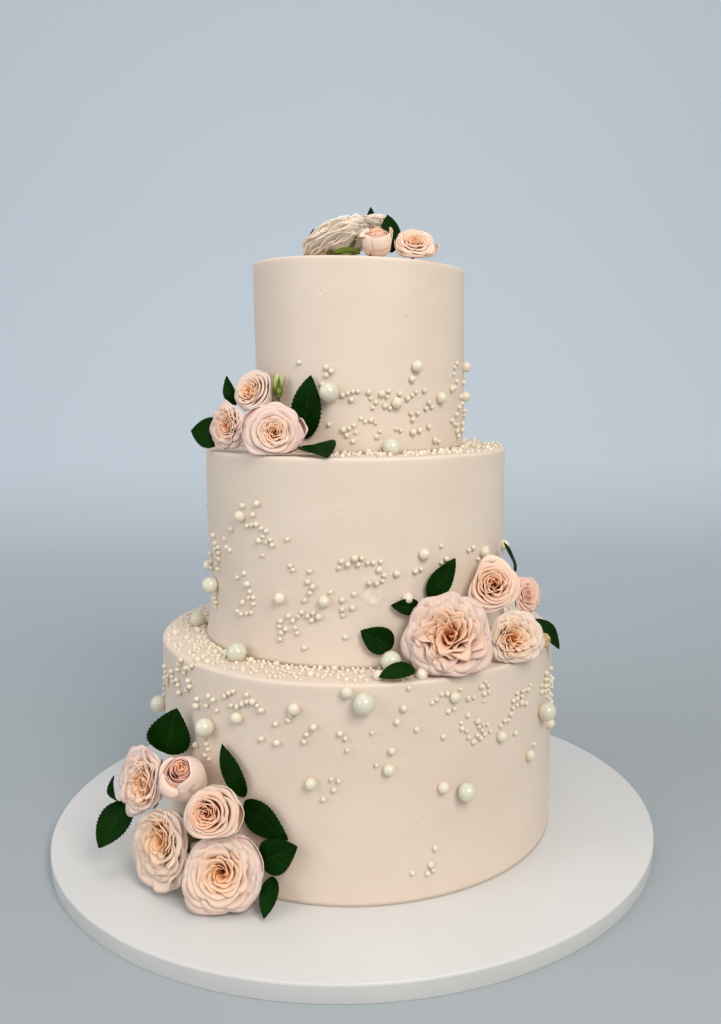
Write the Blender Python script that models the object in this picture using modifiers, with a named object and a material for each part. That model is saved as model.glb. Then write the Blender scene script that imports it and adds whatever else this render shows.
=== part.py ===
"""Three-tier cake on its board, with garden roses, rose leaves and sugar pearls.

Metres, +Z up. The origin is the centre of the board's underside, and -Y is the front.
A place on a tier is an azimuth, which is 0 at the front and grows towards +X, and a height.
"""
import math
import random

import bpy
import bmesh
from mathutils import Matrix, Vector

for old in list(bpy.data.objects):
    bpy.data.objects.remove(old, do_unlink=True)

MM = 0.001
CLEAR = 0.3 * MM

BOARD_RADIUS = 225.0 * MM
BOARD_THICK = 12.0 * MM
BOARD_EDGE = 0.8 * MM

CREAM_SOFTENING = 2.2 * MM
CREAM_UNEVEN = 0.35 * MM
FLARE_SHARE = 0.25

SMALL_PEARL = (3.4 * MM, 5.0 * MM)
MIDDLING_PEARL = 7.6
SUNK_SHARE = 0.22
LARGE_SUNK = 0.10
PEARL_SPACING = 1.15

ROSE_SIDES = 12
BUD_SIDES = 10
LEAF_ROWS = 6
LEAF_THICK = 0.6 * MM
LEAF_ROOM = 3.6 * MM

cake = bpy.data.collections.new("tiered_cake")
bpy.context.scene.collection.children.link(cake)
tools = bpy.data.collections.new("joining_tools")
bpy.context.scene.collection.children.link(tools)


def new_material(name, colour, roughness):
    material = bpy.data.materials.new(name)
    material.use_nodes = True
    shader = material.node_tree.nodes["Principled BSDF"]
    shader.inputs["Base Color"].default_value = (*colour, 1.0)
    shader.inputs["Roughness"].default_value = roughness
    shader.inputs["Metallic"].default_value = 0.0
    return material


BOARD_WHITE = new_material("board_white", (0.80, 0.80, 0.79), 0.55)
CREAM = new_material("blush_cream", (0.78, 0.62, 0.53), 0.6)
PETAL = new_material("rose_petal", (0.83, 0.53, 0.47), 0.6)
DEEP_PETAL = new_material("deep_rose_petal", (0.80, 0.38, 0.31), 0.6)
LEAF = new_material("rose_leaf", (0.010, 0.060, 0.016), 0.4)
GREEN_BUD = new_material("green_bud", (0.22, 0.28, 0.06), 0.5)
PEARL = new_material("sugar_pearl", (0.84, 0.79, 0.66), 0.2)


def add_object(name, mesh, material, collection=cake, angle=35.0):
    piece = bpy.data.objects.new(name, mesh)
    collection.objects.link(piece)
    mesh.materials.clear()
    mesh.materials.append(material)
    mesh.shade_smooth()
    mesh.set_sharp_from_angle(angle=math.radians(angle))
    return piece


def turned(name, outline, steps, material):
    """A turned piece: the outline runs from the axis down the outer side and back to the axis."""
    mesh = bpy.data.meshes.new(name)
    points = [(radius, 0.0, height) for radius, height in outline]
    mesh.from_pydata(points, [(i, i + 1) for i in range(len(points) - 1)], [])
    profile = bpy.data.objects.new(name + "_outline", mesh)
    cake.objects.link(profile)
    screw = profile.modifiers.new("turn", "SCREW")
    screw.steps = steps
    screw.render_steps = steps
    screw.use_merge_vertices = True
    screw.merge_threshold = 0.00005
    bpy.context.view_layer.update()
    evaluated = profile.evaluated_get(bpy.context.evaluated_depsgraph_get())
    solid = bpy.data.meshes.new_from_object(evaluated)
    bpy.data.objects.remove(profile, do_unlink=True)
    return add_object(name, solid, material)


# Board
board = turned("cake_board", [
    (0.0, BOARD_THICK),
    (BOARD_RADIUS - BOARD_EDGE, BOARD_THICK),
    (BOARD_RADIUS, BOARD_THICK - BOARD_EDGE),
    (BOARD_RADIUS, BOARD_EDGE),
    (BOARD_RADIUS - BOARD_EDGE, 0.0),
    (0.0, 0.0),
], 56, BOARD_WHITE)


class Tier:
    """One covered sponge: a straight wall that may flare at its foot, and a level or sloping top."""

    def __init__(self, name, centre, radius, foot_radius, foot, height, steps, fall):
        self.name = name
        self.centre = Vector((centre[0], centre[1], 0.0)) * MM
        self.radius = radius * MM
        self.foot_radius = foot_radius * MM
        self.foot = foot
        self.height = height * MM
        self.steps = steps
        self.fall = fall
        self.top = foot + self.height

    def wall_radius(self, height):
        """The wall flares out over its lowest quarter."""
        share = max(0.0, 1.0 - height / (FLARE_SHARE * self.height))
        return self.radius + (self.foot_radius - self.radius) * share ** 2

    def outward(self, azimuth):
        turn = math.radians(azimuth)
        return Vector((math.sin(turn), -math.cos(turn), 0.0))

    def on_wall(self, azimuth, height, out=0.0):
        """The point at this azimuth and height above the foot, out from the wall."""
        reach = self.wall_radius(height) + out
        return self.centre + self.outward(azimuth) * reach + Vector((0.0, 0.0, self.foot + height))

    def build(self):
        soft = CREAM_SOFTENING
        outline = [
            (0.0, self.height),
            (self.radius - soft, self.height),
            (self.radius - 0.3 * soft, self.height - 0.3 * soft),
            (self.radius, self.height - soft),
        ]
        flares = self.foot_radius - self.radius > 1.0 * MM
        for share in ((FLARE_SHARE, 0.5 * FLARE_SHARE) if flares else (0.5,)):
            outline.append((self.wall_radius(share * self.height), share * self.height))
        outline += [(self.foot_radius, 0.0), (0.0, 0.0)]
        solid = turned(self.name, outline, self.steps, CREAM)
        for vertex in solid.data.vertices:
            x, y, z = vertex.co
            reach = math.hypot(x, y)
            if reach > 0.5 * self.radius:
                turn = math.atan2(y, x)
                wave = math.sin(3.0 * turn + 40.0 * z) + 0.6 * math.sin(7.0 * turn - 25.0 * z)
                scale = 1.0 + CREAM_UNEVEN * wave / reach
                vertex.co.x = x * scale
                vertex.co.y = y * scale
            vertex.co.z = z - self.fall * vertex.co.x * z / self.height
        solid.location = self.centre + Vector((0.0, 0.0, self.foot))
        return solid


BOTTOM_FOOT = BOARD_THICK + CLEAR
BOTTOM = Tier("tier_bottom", (3.0, -4.0), 144.2, 144.4, BOTTOM_FOOT, 144.2, 60, 0.0)
MIDDLE = Tier("tier_middle", (2.0, -4.0), 108.7, 112.5, BOTTOM.top + CLEAR, 134.4, 48, 0.0)
TOP = Tier("tier_top", (5.0, -4.0), 75.3, 75.0, MIDDLE.top + CLEAR, 127.0, 40, 0.029)


# Sugar pearls
class Pearl:
    """A pearl by its centre, the way out of the cream beneath it, and its diameter."""

    def __init__(self, centre, outward, diameter):
        self.centre = centre
        self.outward = outward
        self.diameter = diameter

    def is_clear_of(self, others):
        return all((self.centre - other.centre).length
                   > PEARL_SPACING * 0.5 * (self.diameter + other.diameter) for other in others)


def wall_pearl(tier, azimuth, height, diameter, sunk=SUNK_SHARE):
    diameter *= MM
    centre = tier.on_wall(azimuth, height * MM, (0.5 - sunk) * diameter)
    return Pearl(centre, tier.outward(azimuth), diameter)


def ledge_pearl(tier, upper, azimuth, gap, diameter, sunk=SUNK_SHARE):
    """A pearl on a tier's top, its centre at this gap from the foot of the tier above."""
    diameter *= MM
    centre = upper.centre + upper.outward(azimuth) * (upper.foot_radius + gap * MM)
    centre.z = tier.top + (0.5 - sunk) * diameter
    return Pearl(centre, Vector((0.0, 0.0, 1.0)), diameter)


def small_pearl(tier, seed, azimuth, height, lean, placed):
    """A small pearl a step away from this spot, leaning up or down in degrees, where it finds room."""
    draw = random.Random(seed)
    for _ in range(12):
        turn = math.radians(lean) + draw.uniform(-0.9, 0.9)
        step = draw.uniform(4.5, 8.5)
        at_azimuth = azimuth + math.degrees(step * math.cos(turn) * MM / tier.radius)
        at_height = height + step * math.sin(turn)
        pearl = wall_pearl(tier, at_azimuth, at_height, draw.uniform(*SMALL_PEARL) / MM)
        if pearl.is_clear_of(placed):
            return [pearl]
    return []


def small_mesh(name, fine):
    """A ball one unit across, with more faces on the middling pearls than on the small ones."""
    shape = bmesh.new()
    if fine:
        bmesh.ops.create_uvsphere(shape, u_segments=8, v_segments=5, radius=0.5)
    else:
        bmesh.ops.create_icosphere(shape, subdivisions=1, radius=0.5)
    mesh = bpy.data.meshes.new(name)
    shape.to_mesh(mesh)
    shape.free()
    return mesh


def fuse_pearls(solid, pearls):
    """One union joins all of a tier's small pearls to its cream."""
    fine = small_mesh("pearl_fine", True)
    coarse = small_mesh("pearl_coarse", False)
    draw = random.Random(len(pearls))
    joined = []
    for pearl in pearls:
        mesh = fine if pearl.diameter > 6.0 * MM else coarse
        ball = bpy.data.objects.new("joined_pearl", mesh)
        tools.objects.link(ball)
        ball.location = pearl.centre
        ball.scale = (pearl.diameter,) * 3
        ball.rotation_euler = (draw.uniform(0, 3), draw.uniform(0, 3), draw.uniform(0, 3))
        ball.hide_render = True
        ball.display_type = "WIRE"
        joined.append(ball)
    union = solid.modifiers.new("pearls", "BOOLEAN")
    union.operation = "UNION"
    union.solver = "EXACT"
    union.operand_type = "COLLECTION"
    union.collection = tools
    bpy.context.view_layer.update()
    evaluated = solid.evaluated_get(bpy.context.evaluated_depsgraph_get())
    mesh = bpy.data.meshes.new_from_object(evaluated)
    solid.modifiers.clear()
    solid.data = mesh
    for ball in joined:
        bpy.data.objects.remove(ball, do_unlink=True)


# Large pearls are pieces of their own: name, tier, azimuth, height, diameter
WALL_PEARLS = [
    ("pearl_top_front", TOP, -15, 40, 13.0),
    ("pearl_middle_left", MIDDLE, -65, 41, 11.6),
    ("pearl_bottom_centre", BOTTOM, 1, 134, 13.4),
    ("pearl_bottom_low", BOTTOM, 27, 69, 12.2),
    ("pearl_bottom_left", BOTTOM, -42, 106, 12.6),
    ("pearl_bottom_far_left", BOTTOM, -76, 96, 12.0),
    ("pearl_bottom_right", BOTTOM, 60, 100, 13.0),
    ("pearl_back_bottom_left", BOTTOM, -128, 112, 12.6),
    ("pearl_back_bottom_right", BOTTOM, 141, 92, 13.0),
    ("pearl_back_middle_right", MIDDLE, 118, 62, 12.0),
    ("pearl_back_middle_left", MIDDLE, -152, 38, 12.0),
    ("pearl_back_top", TOP, 165, 31, 12.4),
]
# The same on a ledge: name, tier with the ledge, tier above, azimuth, gap to the foot, diameter, raised
LEDGE_PEARLS = [
    ("pearl_ledge_left", BOTTOM, MIDDLE, -90, 7.4, 12.0, 0.0),
    ("pearl_ledge_front_left", BOTTOM, MIDDLE, -41.5, 7.8, 13.2, 0.0),
    ("pearl_ledge_leaf", BOTTOM, MIDDLE, 9.6, 12.5, 13.0, 3.0),
    ("pearl_ledge_top_tier", MIDDLE, TOP, 14, 7.5, 11.6, 0.0),
    ("pearl_ledge_back", BOTTOM, MIDDLE, 172, 8.0, 12.6, 0.0),
]


def large_pearl(name, pearl):
    """A ball with a small flat where it is pressed into the cream."""
    radius = 0.5 * pearl.diameter
    flat = radius - LARGE_SUNK * pearl.diameter - CLEAR - 2.0 * CREAM_UNEVEN
    shape = bmesh.new()
    bmesh.ops.create_icosphere(shape, subdivisions=2, radius=radius)
    for vertex in shape.verts:
        vertex.co.z = max(vertex.co.z, -flat)
    mesh = bpy.data.meshes.new(name)
    shape.to_mesh(mesh)
    shape.free()
    ball = add_object(name, mesh, PEARL)
    ball.location = pearl.centre
    ball.rotation_mode = "QUATERNION"
    ball.rotation_quaternion = Vector((0.0, 0.0, 1.0)).rotation_difference(pearl.outward)
    return ball


big = []
for name, tier, azimuth, height, diameter in WALL_PEARLS:
    pearl = wall_pearl(tier, azimuth, height, diameter, LARGE_SUNK)
    large_pearl(name, pearl)
    big.append(pearl)
for name, tier, upper, azimuth, gap, diameter, raised in LEDGE_PEARLS:
    pearl = ledge_pearl(tier, upper, azimuth, gap, diameter, LARGE_SUNK)
    pearl.centre.z += raised * MM
    large_pearl(name, pearl)
    big.append(pearl)


# Roses
# A rose's turned shape, from the cut stem to the heart: reach, height, waviness, number of petals.
# Both are shares of the rose's radius.
OPEN_ROSE = [
    (0.08, -1.35, 0.00, 5), (0.10, -0.78, 0.00, 5), (0.55, -0.60, 0.05, 5), (0.94, -0.16, 0.05, 5),
    (1.00, 0.02, 0.09, 5), (0.84, 0.06, 0.06, 5), (0.76, 0.20, 0.10, 5), (0.58, 0.10, 0.06, 5),
    (0.48, 0.25, 0.12, 3), (0.30, 0.10, 0.08, 3), (0.20, 0.18, 0.10, 3),
]
CUPPED_ROSE = [
    (0.09, -1.60, 0.00, 5), (0.11, -1.00, 0.00, 5), (0.60, -0.80, 0.04, 5), (0.96, -0.30, 0.04, 5),
    (1.00, 0.12, 0.07, 5), (0.86, 0.14, 0.05, 5), (0.74, 0.24, 0.09, 5), (0.60, 0.12, 0.06, 5),
    (0.44, 0.26, 0.12, 3), (0.28, 0.10, 0.08, 3), (0.18, 0.22, 0.10, 3),
]
BUD = [
    (0.12, -1.70, 0.00, 5), (0.14, -1.12, 0.00, 5), (0.66, -0.92, 0.04, 5), (0.98, -0.45, 0.03, 5),
    (1.00, 0.05, 0.05, 3), (0.88, 0.52, 0.08, 3), (0.72, 0.50, 0.05, 3), (0.56, 0.72, 0.09, 3),
    (0.42, 0.56, 0.06, 3), (0.30, 0.74, 0.10, 2), (0.14, 0.58, 0.08, 2),
]
CLOSED_BUD = [
    (0.28, -3.20, 0.00, 5), (0.28, -1.40, 0.00, 5), (0.72, -1.10, 0.00, 5), (0.66, -0.70, 0.00, 5),
    (1.00, -0.10, 0.10, 5), (1.06, 0.70, 0.24, 5), (0.60, 0.80, 0.10, 5), (0.32, 1.90, 0.10, 5),
]


class Bloom:
    """A flower head: the centre of its widest ring, the way it faces and its diameter."""

    def __init__(self, name, outline, place, azimuth, elevation, diameter, material):
        self.name = name
        self.outline = outline
        self.place = Vector(place) * MM
        self.azimuth = math.radians(azimuth)
        self.elevation = math.radians(elevation)
        self.radius = 0.5 * diameter * MM
        self.material = material
        self.walls = []

    def frame(self):
        """Local +Z becomes the way the flower faces."""
        tilt = Matrix.Rotation(math.pi / 2 - self.elevation, 4, "X")
        return Matrix.Rotation(self.azimuth, 4, "Z") @ tilt

    def build(self, seed):
        draw = random.Random(seed)
        sides = ROSE_SIDES if self.outline is not CLOSED_BUD else BUD_SIDES
        shape = bmesh.new()
        rings = []
        for reach, height, wave, petals in self.outline:
            shift = draw.uniform(0.0, 2.0 * math.pi)
            ring = []
            for side in range(sides):
                turn = 2.0 * math.pi * side / sides
                ripple = 1.0 + wave * math.sin(petals * turn + shift) + 0.3 * wave * draw.uniform(-1.0, 1.0)
                rise = 0.5 * wave * math.cos(petals * turn + shift)
                distance = reach * ripple
                point = Vector((distance * math.cos(turn), distance * math.sin(turn), height + rise))
                ring.append(shape.verts.new(point * self.radius))
            rings.append(ring)
        for lower, upper in zip(rings, rings[1:]):
            for side in range(sides):
                after = (side + 1) % sides
                shape.faces.new((lower[side], lower[after], upper[after], upper[side]))
        for ring, flip in ((rings[0], True), (rings[-1], False)):
            middle = sum((vertex.co for vertex in ring), Vector()) / sides
            pole = shape.verts.new(middle)
            for side in range(sides):
                after = (side + 1) % sides
                corners = (ring[after], ring[side], pole) if flip else (ring[side], ring[after], pole)
                shape.faces.new(corners)
        self.press(shape)
        bmesh.ops.triangulate(shape, faces=shape.faces[:])
        bmesh.ops.recalc_face_normals(shape, faces=shape.faces[:])
        mesh = bpy.data.meshes.new(self.name)
        shape.to_mesh(mesh)
        shape.free()
        piece = add_object(self.name, mesh, self.material, angle=50.0)
        piece.location = self.place
        piece.rotation_euler = self.frame().to_euler()
        return piece

    def press(self, shape):
        """Petals give way smoothly where the flower meets its neighbours and the cake."""
        turn_back = self.frame().to_3x3().inverted()
        walls = [(turn_back @ normal, distance) for normal, distance in self.walls]
        for vertex in shape.verts:
            length = vertex.co.length
            way = vertex.co / length
            crowding = 0.0
            for normal, distance in walls:
                towards = way.dot(normal)
                if towards > 0.0:
                    crowding += (length * towards / distance) ** 8
            vertex.co *= (1.0 + crowding) ** -0.125


BLOOMS = [
    # by the board, leaning on the bottom tier
    Bloom("rose_low_front", OPEN_ROSE, (-84, -153, 37.5), -2, 20, 54, PETAL),
    Bloom("rose_low_left", OPEN_ROSE, (-128, -127, 43), -42, 10, 60, PETAL),
    Bloom("rose_low_heart", CUPPED_ROSE, (-88, -149, 75), -8, 20, 37, PETAL),
    Bloom("rose_low_bud", BUD, (-110, -123, 89), -10, 42, 33, PETAL),
    Bloom("rose_low_back", OPEN_ROSE, (-142, -108, 77.5), -44, 14, 51, PETAL),
    # on the ledge of the bottom tier
    Bloom("rose_ledge_large", OPEN_ROSE, (58, -131, 181.5), -5, 26, 60, PETAL),
    Bloom("rose_ledge_upper", CUPPED_ROSE, (90, -94, 205.5), -2, 20, 39, PETAL),
    Bloom("rose_ledge_small", CUPPED_ROSE, (122, -58, 190.5), 38, 16, 27, DEEP_PETAL),
    Bloom("rose_ledge_right", OPEN_ROSE, (106.5, -106, 171), 14, 14, 42, PETAL),
    Bloom("floret_ledge", BUD, (129, -80, 164), 30, 50, 11, DEEP_PETAL),
    # on the ledge of the middle tier
    Bloom("rose_middle_upper", CUPPED_ROSE, (-67.5, -60, 332), -33, 26, 33, PETAL),
    Bloom("rose_middle_left", OPEN_ROSE, (-86.5, -60, 308.5), -44, 8, 37, PETAL),
    Bloom("rose_middle_front", OPEN_ROSE, (-52, -95, 306.5), 0, 10, 39, PETAL),
    Bloom("green_bud_middle", CLOSED_BUD, (-50, -66, 334), 0, 86, 9, GREEN_BUD),
    # on top
    Bloom("rose_top_large", OPEN_ROSE, (-13, -42, 436), -115, 61, 51, PETAL),
    Bloom("rose_top_bud", BUD, (16, -62, 430.5), -10, 72, 22, PETAL),
    Bloom("rose_top_right", OPEN_ROSE, (41.5, -59, 430), 6, 36, 27, PETAL),
    Bloom("rose_top_back", CUPPED_ROSE, (15.5, -28, 447), 170, 76, 27, PETAL),
]


def nearest_on_drum(point, centre, radius, foot, top):
    """The nearest point of a solid drum to a point outside it."""
    flat = Vector((point.x - centre.x, point.y - centre.y, 0.0))
    if flat.length > radius:
        flat = flat.normalized() * radius
    return Vector((centre.x + flat.x, centre.y + flat.y, min(max(point.z, foot), top)))


def settle(blooms):
    """Gives each flower the planes that part it from the cake and from its neighbours."""
    drums = [(Vector((0.0, 0.0, 0.0)), BOARD_RADIUS, 0.0, BOARD_THICK)]
    for tier in (BOTTOM, MIDDLE, TOP):
        drums.append((tier.centre, tier.foot_radius + 2.0 * CREAM_UNEVEN, tier.foot, tier.top))
    for bloom in blooms:
        for centre, radius, foot, top in drums:
            away = nearest_on_drum(bloom.place, centre, radius, foot, top) - bloom.place
            room = LEAF_ROOM if abs(away.z) < 0.5 * away.length else 2.0 * CLEAR
            bloom.walls.append((away.normalized(), away.length - room))
    for i, one in enumerate(blooms):
        for other in blooms[i + 1:]:
            gap = other.place - one.place
            way = gap.normalized()
            share = 0.5 + 0.5 * (one.radius ** 2 - other.radius ** 2) / gap.length_squared
            share = min(max(share, 0.2), 0.8)
            one.walls.append((way, share * gap.length - CLEAR))
            other.walls.append((-way, (1.0 - share) * gap.length - CLEAR))


settle(BLOOMS)
for number, bloom in enumerate(BLOOMS):
    bloom.build(100 + number)


# Rose leaves
def leaf_width(share):
    """Half width along the leaf, as a share of its widest half, at about two fifths."""
    return math.sin(math.pi * share ** 0.75) ** 0.8


def leaf_mesh(name, at):
    """A thin wavy leaf: at gives the point for a share along the rib and a share across."""
    shape = bmesh.new()
    rows = [[shape.verts.new(at(0.0, 0.0))]]
    for row in range(1, LEAF_ROWS - 1):
        share = row / (LEAF_ROWS - 1)
        rows.append([shape.verts.new(at(share, across)) for across in (-1.0, 0.0, 1.0)])
    rows.append([shape.verts.new(at(1.0, 0.0))])
    for ends, fan in ((rows[0][0], rows[1]), (rows[-1][0], rows[-2])):
        for one, other in zip(fan, fan[1:]):
            shape.faces.new((ends, one, other))
    for low, high in zip(rows[1:-1], rows[2:-1]):
        for i in range(2):
            shape.faces.new((low[i], low[i + 1], high[i + 1]))
            shape.faces.new((low[i], high[i + 1], high[i]))
    bmesh.ops.recalc_face_normals(shape, faces=shape.faces[:])
    mesh = bpy.data.meshes.new(name)
    shape.to_mesh(mesh)
    shape.free()
    sheet = add_object(name, mesh, LEAF)
    solidify = sheet.modifiers.new("thickness", "SOLIDIFY")
    solidify.thickness = LEAF_THICK
    solidify.offset = 0.0
    return sheet


def wall_leaf(name, tier, base, tip, width, arch=1.5, fold=1.0):
    """A leaf that lies along a tier's wall: base and tip are azimuth, height and distance out."""
    def at(share, across):
        azimuth = base[0] + (tip[0] - base[0]) * share
        height = base[1] + (tip[1] - base[1]) * share
        run = math.radians(tip[0] - base[0]) * tier.radius
        rise = (tip[1] - base[1]) * MM
        length = math.hypot(run, rise)
        side = across * 0.5 * width * MM * leaf_width(share)
        azimuth += math.degrees(-rise / length * side / tier.radius)
        height += run / length * side / MM
        out = base[2] + (tip[2] - base[2]) * share + arch * math.sin(math.pi * share)
        out += fold * abs(across) * leaf_width(share) + 0.4 * math.sin(9.0 * share + across)
        return tier.on_wall(azimuth, height * MM, out * MM)
    return leaf_mesh(name, at)


def free_leaf(name, base, tip, azimuth, elevation, width, arch=3.0, fold=2.0):
    """A leaf between two points whose upper face looks this way."""
    start = Vector(base) * MM
    end = Vector(tip) * MM
    along = end - start
    turn = math.radians(azimuth)
    lift = math.radians(elevation)
    facing = Vector((math.sin(turn) * math.cos(lift), -math.cos(turn) * math.cos(lift), math.sin(lift)))
    side = along.cross(facing).normalized()
    facing = side.cross(along).normalized()

    def at(share, across):
        point = start + along * share
        point += side * across * 0.5 * width * MM * leaf_width(share)
        lift_up = arch * math.sin(math.pi * share) + 0.5 * math.sin(8.0 * share + across)
        return point + facing * (lift_up + fold * abs(across) * leaf_width(share)) * MM
    return leaf_mesh(name, at)


free_leaf("leaf_low_top", (-126, -94, 93), (-117, -99, 126), 0, 10, 29)
wall_leaf("leaf_low_upper", BOTTOM, (-30, 66, 2.0), (-36.5, 98, 3.0), 17)
wall_leaf("leaf_low_middle", BOTTOM, (-30, 63, 2.0), (-18, 43, 2.5), 22)
free_leaf("leaf_low_right", (-60, -142, 40), (-36, -150, 54), -15, 15, 23, 1.5, 1.0)
free_leaf("leaf_low_foot", (-52, -144, 31), (-56, -164, 15), -10, 45, 12, 0.5, 0.5)
free_leaf("leaf_low_left", (-154, -89, 57), (-169, -108, 34), -30, 25, 27, 1.0, 1.0)
free_leaf("leaf_low_far_left", (-160, -87, 56), (-162, -89, 76), -50, 10, 10)

wall_leaf("leaf_ledge_upper", MIDDLE, (24, 44, 2.5), (34.8, 67, 3.0), 17)
wall_leaf("leaf_ledge_left", MIDDLE, (21, 38, 2.5), (11, 40.5, 3.0), 11)
wall_leaf("leaf_ledge_far_left", MIDDLE, (11.5, 14, 3.0), (1, 25, 4.0), 18)
free_leaf("leaf_ledge_rim", (37, -139, 162.5), (15, -144, 159.5), 0, 62, 14, 2.0, 1.0)
free_leaf("leaf_ledge_back", (110.5, -66, 208), (103, -61, 228), 72, 10, 12, 1.5, 1.0)
free_leaf("leaf_ledge_right", (128, -55, 172), (141.5, -70, 154), 40, 20, 17, 1.0, 1.0)

wall_leaf("leaf_middle_large", TOP, (-29.5, 9, 1.6), (-24.5, 51, 3.0), 22)
free_leaf("leaf_middle_rim", (-27.5, -84, 297), (-16, -113, 291.5), 20, 55, 22, 3.0, 1.0)
free_leaf("leaf_middle_left", (-90, -43, 300), (-112, -42, 304.5), -15, 25, 23)
free_leaf("leaf_middle_back", (-81, -41, 322), (-87, -39, 342), -20, 10, 9)

free_leaf("leaf_top_left", (-25, -12, 430), (-27, -17, 444), -20, 20, 9)
free_leaf("leaf_top_back", (13, -12, 446), (13, -13, 459.5), 0, 10, 6)
free_leaf("leaf_top_upright", (27, -43, 425), (25.5, -43, 450), 0, 5, 12, 1.5, 1.0)
free_leaf("leaf_top_front", (5, -68, 421), (-13, -70, 420.5), 0, 50, 7, 2.0, 1.0)


# Small pearls, fused to the tiers: azimuth and height of the middling ones
ON_TOP = [(18, 33), (29, 57), (45, 36), (77, 57), (75, 36)]
ON_MIDDLE = [(-44, 94), (-27, 43), (-11, 43), (23, 72), (51, 67), (-73, 52), (71, 66)]
ON_BOTTOM = [(-3, 140), (24, 132), (7, 90), (-12, 81), (21, 74), (39, 98), (52, 75), (-32, 117), (-16, 128)]
# The small ones on the side shown: azimuth, height, and the lean of the string they belong to
STRINGS_TOP = [
    (-36, 57, 20), (-17, 56, -40), (-8, 38, 10), (5, 38, 0), (25, 42, 70), (52, 48, -60), (28, 22, -80),
    (40, 12, -90), (-12, 20, -60), (62, 30, -70),
]
STRINGS_MIDDLE = [
    (-39, 108, -80), (-37, 86, -30), (-56, 72, -60), (-45, 54, -80), (-20, 60, -60), (-17, 36, -10),
    (-26, 28, 20), (-3, 77, -70), (5, 66, 10), (12, 55, 60), (42, 76, -80), (-2, 44, -30),
]
STRINGS_BOTTOM = [
    (-58, 124, -60), (-50, 118, -10), (-30, 127, 20), (-21, 112, -60), (-47, 96, -70), (-13, 118, -60),
    (-5, 120, -70), (10, 136, -80), (22, 130, -50), (31, 128, 50), (30, 106, 30), (45, 112, 60),
    (62, 122, -80), (5, 97, -10), (-8, 84, -80), (18, 32, -80),
]


def tier_pearls(tier, middling, strings, back_strings, lowest, highest, seed):
    """The seen side follows the lists; the back is strewn evenly by a seeded draw."""
    draw = random.Random(seed)
    pearls = [wall_pearl(tier, azimuth, height, MIDDLING_PEARL) for azimuth, height in middling]
    for number, (azimuth, height, lean) in enumerate(strings):
        pearls += small_pearl(tier, seed + number, azimuth, height, lean, pearls + big)
    for number in range(back_strings):
        azimuth = 90.0 + 180.0 * (number + draw.uniform(0.2, 0.8)) / back_strings
        height = draw.uniform(lowest, highest)
        lean = draw.uniform(-90.0, 60.0)
        if number % 3 == 0:
            pearl = wall_pearl(tier, azimuth, height + 9.0, MIDDLING_PEARL)
            if pearl.is_clear_of(pearls + big):
                pearls.append(pearl)
        pearls += small_pearl(tier, seed + 50 + number, azimuth, height, lean, pearls + big)
    return pearls


def ledge_row(tier, upper, step, seed, skipped, placed):
    """Small pearls strewn round the foot of the tier above, but not under the roses."""
    draw = random.Random(seed)
    row = []
    azimuth = -180.0
    while azimuth < 180.0:
        gap = draw.uniform(3.6, 10.0)
        pearl = ledge_pearl(tier, upper, azimuth, gap, draw.uniform(*SMALL_PEARL) / MM)
        if not skipped[0] < azimuth < skipped[1] and pearl.is_clear_of(placed + row):
            row.append(pearl)
        azimuth += step * draw.uniform(0.6, 1.4)
    return row


bottom_pearls = tier_pearls(BOTTOM, ON_BOTTOM, STRINGS_BOTTOM, 5, 80.0, 128.0, 10)
bottom_pearls += ledge_row(BOTTOM, MIDDLE, 26.0, 71, (2.0, 80.0), bottom_pearls + big)
middle_pearls = tier_pearls(MIDDLE, ON_MIDDLE, STRINGS_MIDDLE, 4, 25.0, 100.0, 20)
middle_pearls += ledge_row(MIDDLE, TOP, 34.0, 72, (-90.0, -10.0), middle_pearls + big)
top_pearls = tier_pearls(TOP, ON_TOP, STRINGS_TOP, 5, 15.0, 58.0, 30)
for tier, pearls in ((BOTTOM, bottom_pearls), (MIDDLE, middle_pearls), (TOP, top_pearls)):
    fuse_pearls(tier.build(), pearls)
bpy.data.collections.remove(tools)
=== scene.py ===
"""Three-tier celebration cake on its board, dressed with garden roses and strewn sugar pearls.

Metres, +Z up, the front at -Y. A place on a tier is an azimuth in degrees, which is 0 at the front
and grows towards +X, and a height in millimetres above the tier's foot.
"""

import math
import random

import bmesh
import bpy
from mathutils import Matrix, Vector, noise


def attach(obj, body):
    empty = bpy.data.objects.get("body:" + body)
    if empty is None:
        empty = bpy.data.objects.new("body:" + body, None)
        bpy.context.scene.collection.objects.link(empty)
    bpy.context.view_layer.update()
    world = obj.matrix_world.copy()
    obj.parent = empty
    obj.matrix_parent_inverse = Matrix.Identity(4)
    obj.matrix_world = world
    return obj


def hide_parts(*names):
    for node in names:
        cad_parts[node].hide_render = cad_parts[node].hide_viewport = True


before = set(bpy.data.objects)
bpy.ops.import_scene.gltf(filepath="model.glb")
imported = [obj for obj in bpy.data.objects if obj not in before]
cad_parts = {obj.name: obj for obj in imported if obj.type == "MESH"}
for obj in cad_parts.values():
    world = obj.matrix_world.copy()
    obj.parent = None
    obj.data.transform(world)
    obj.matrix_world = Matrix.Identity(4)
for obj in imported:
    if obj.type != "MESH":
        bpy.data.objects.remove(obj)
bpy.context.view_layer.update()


# Cake board
# A 45 cm drum of fibreboard, 12 mm thick, covered in matt white paper. The top sheet is turned down
# over the rim, and a band of the same paper is glued round the edge, a little proud of it. The band is
# given a darker colour than the top sheet, a painted shade on the upright edge.
MM = 0.001
BOARD_RADIUS = 225.0 * MM
BOARD_THICK = 12.0 * MM
BAND_DROP = 1.3 * MM
BAND_PROUD = 0.25 * MM
PAPER_ROUNDING = 0.9 * MM
SHEET_RADIUS = BOARD_RADIUS - BAND_PROUD
BAND_TOP = BOARD_THICK - BAND_DROP
BOARD_STEPS = 192
SHARP_EDGE = 40.0
TOUCHING = 0.005 * MM


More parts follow.
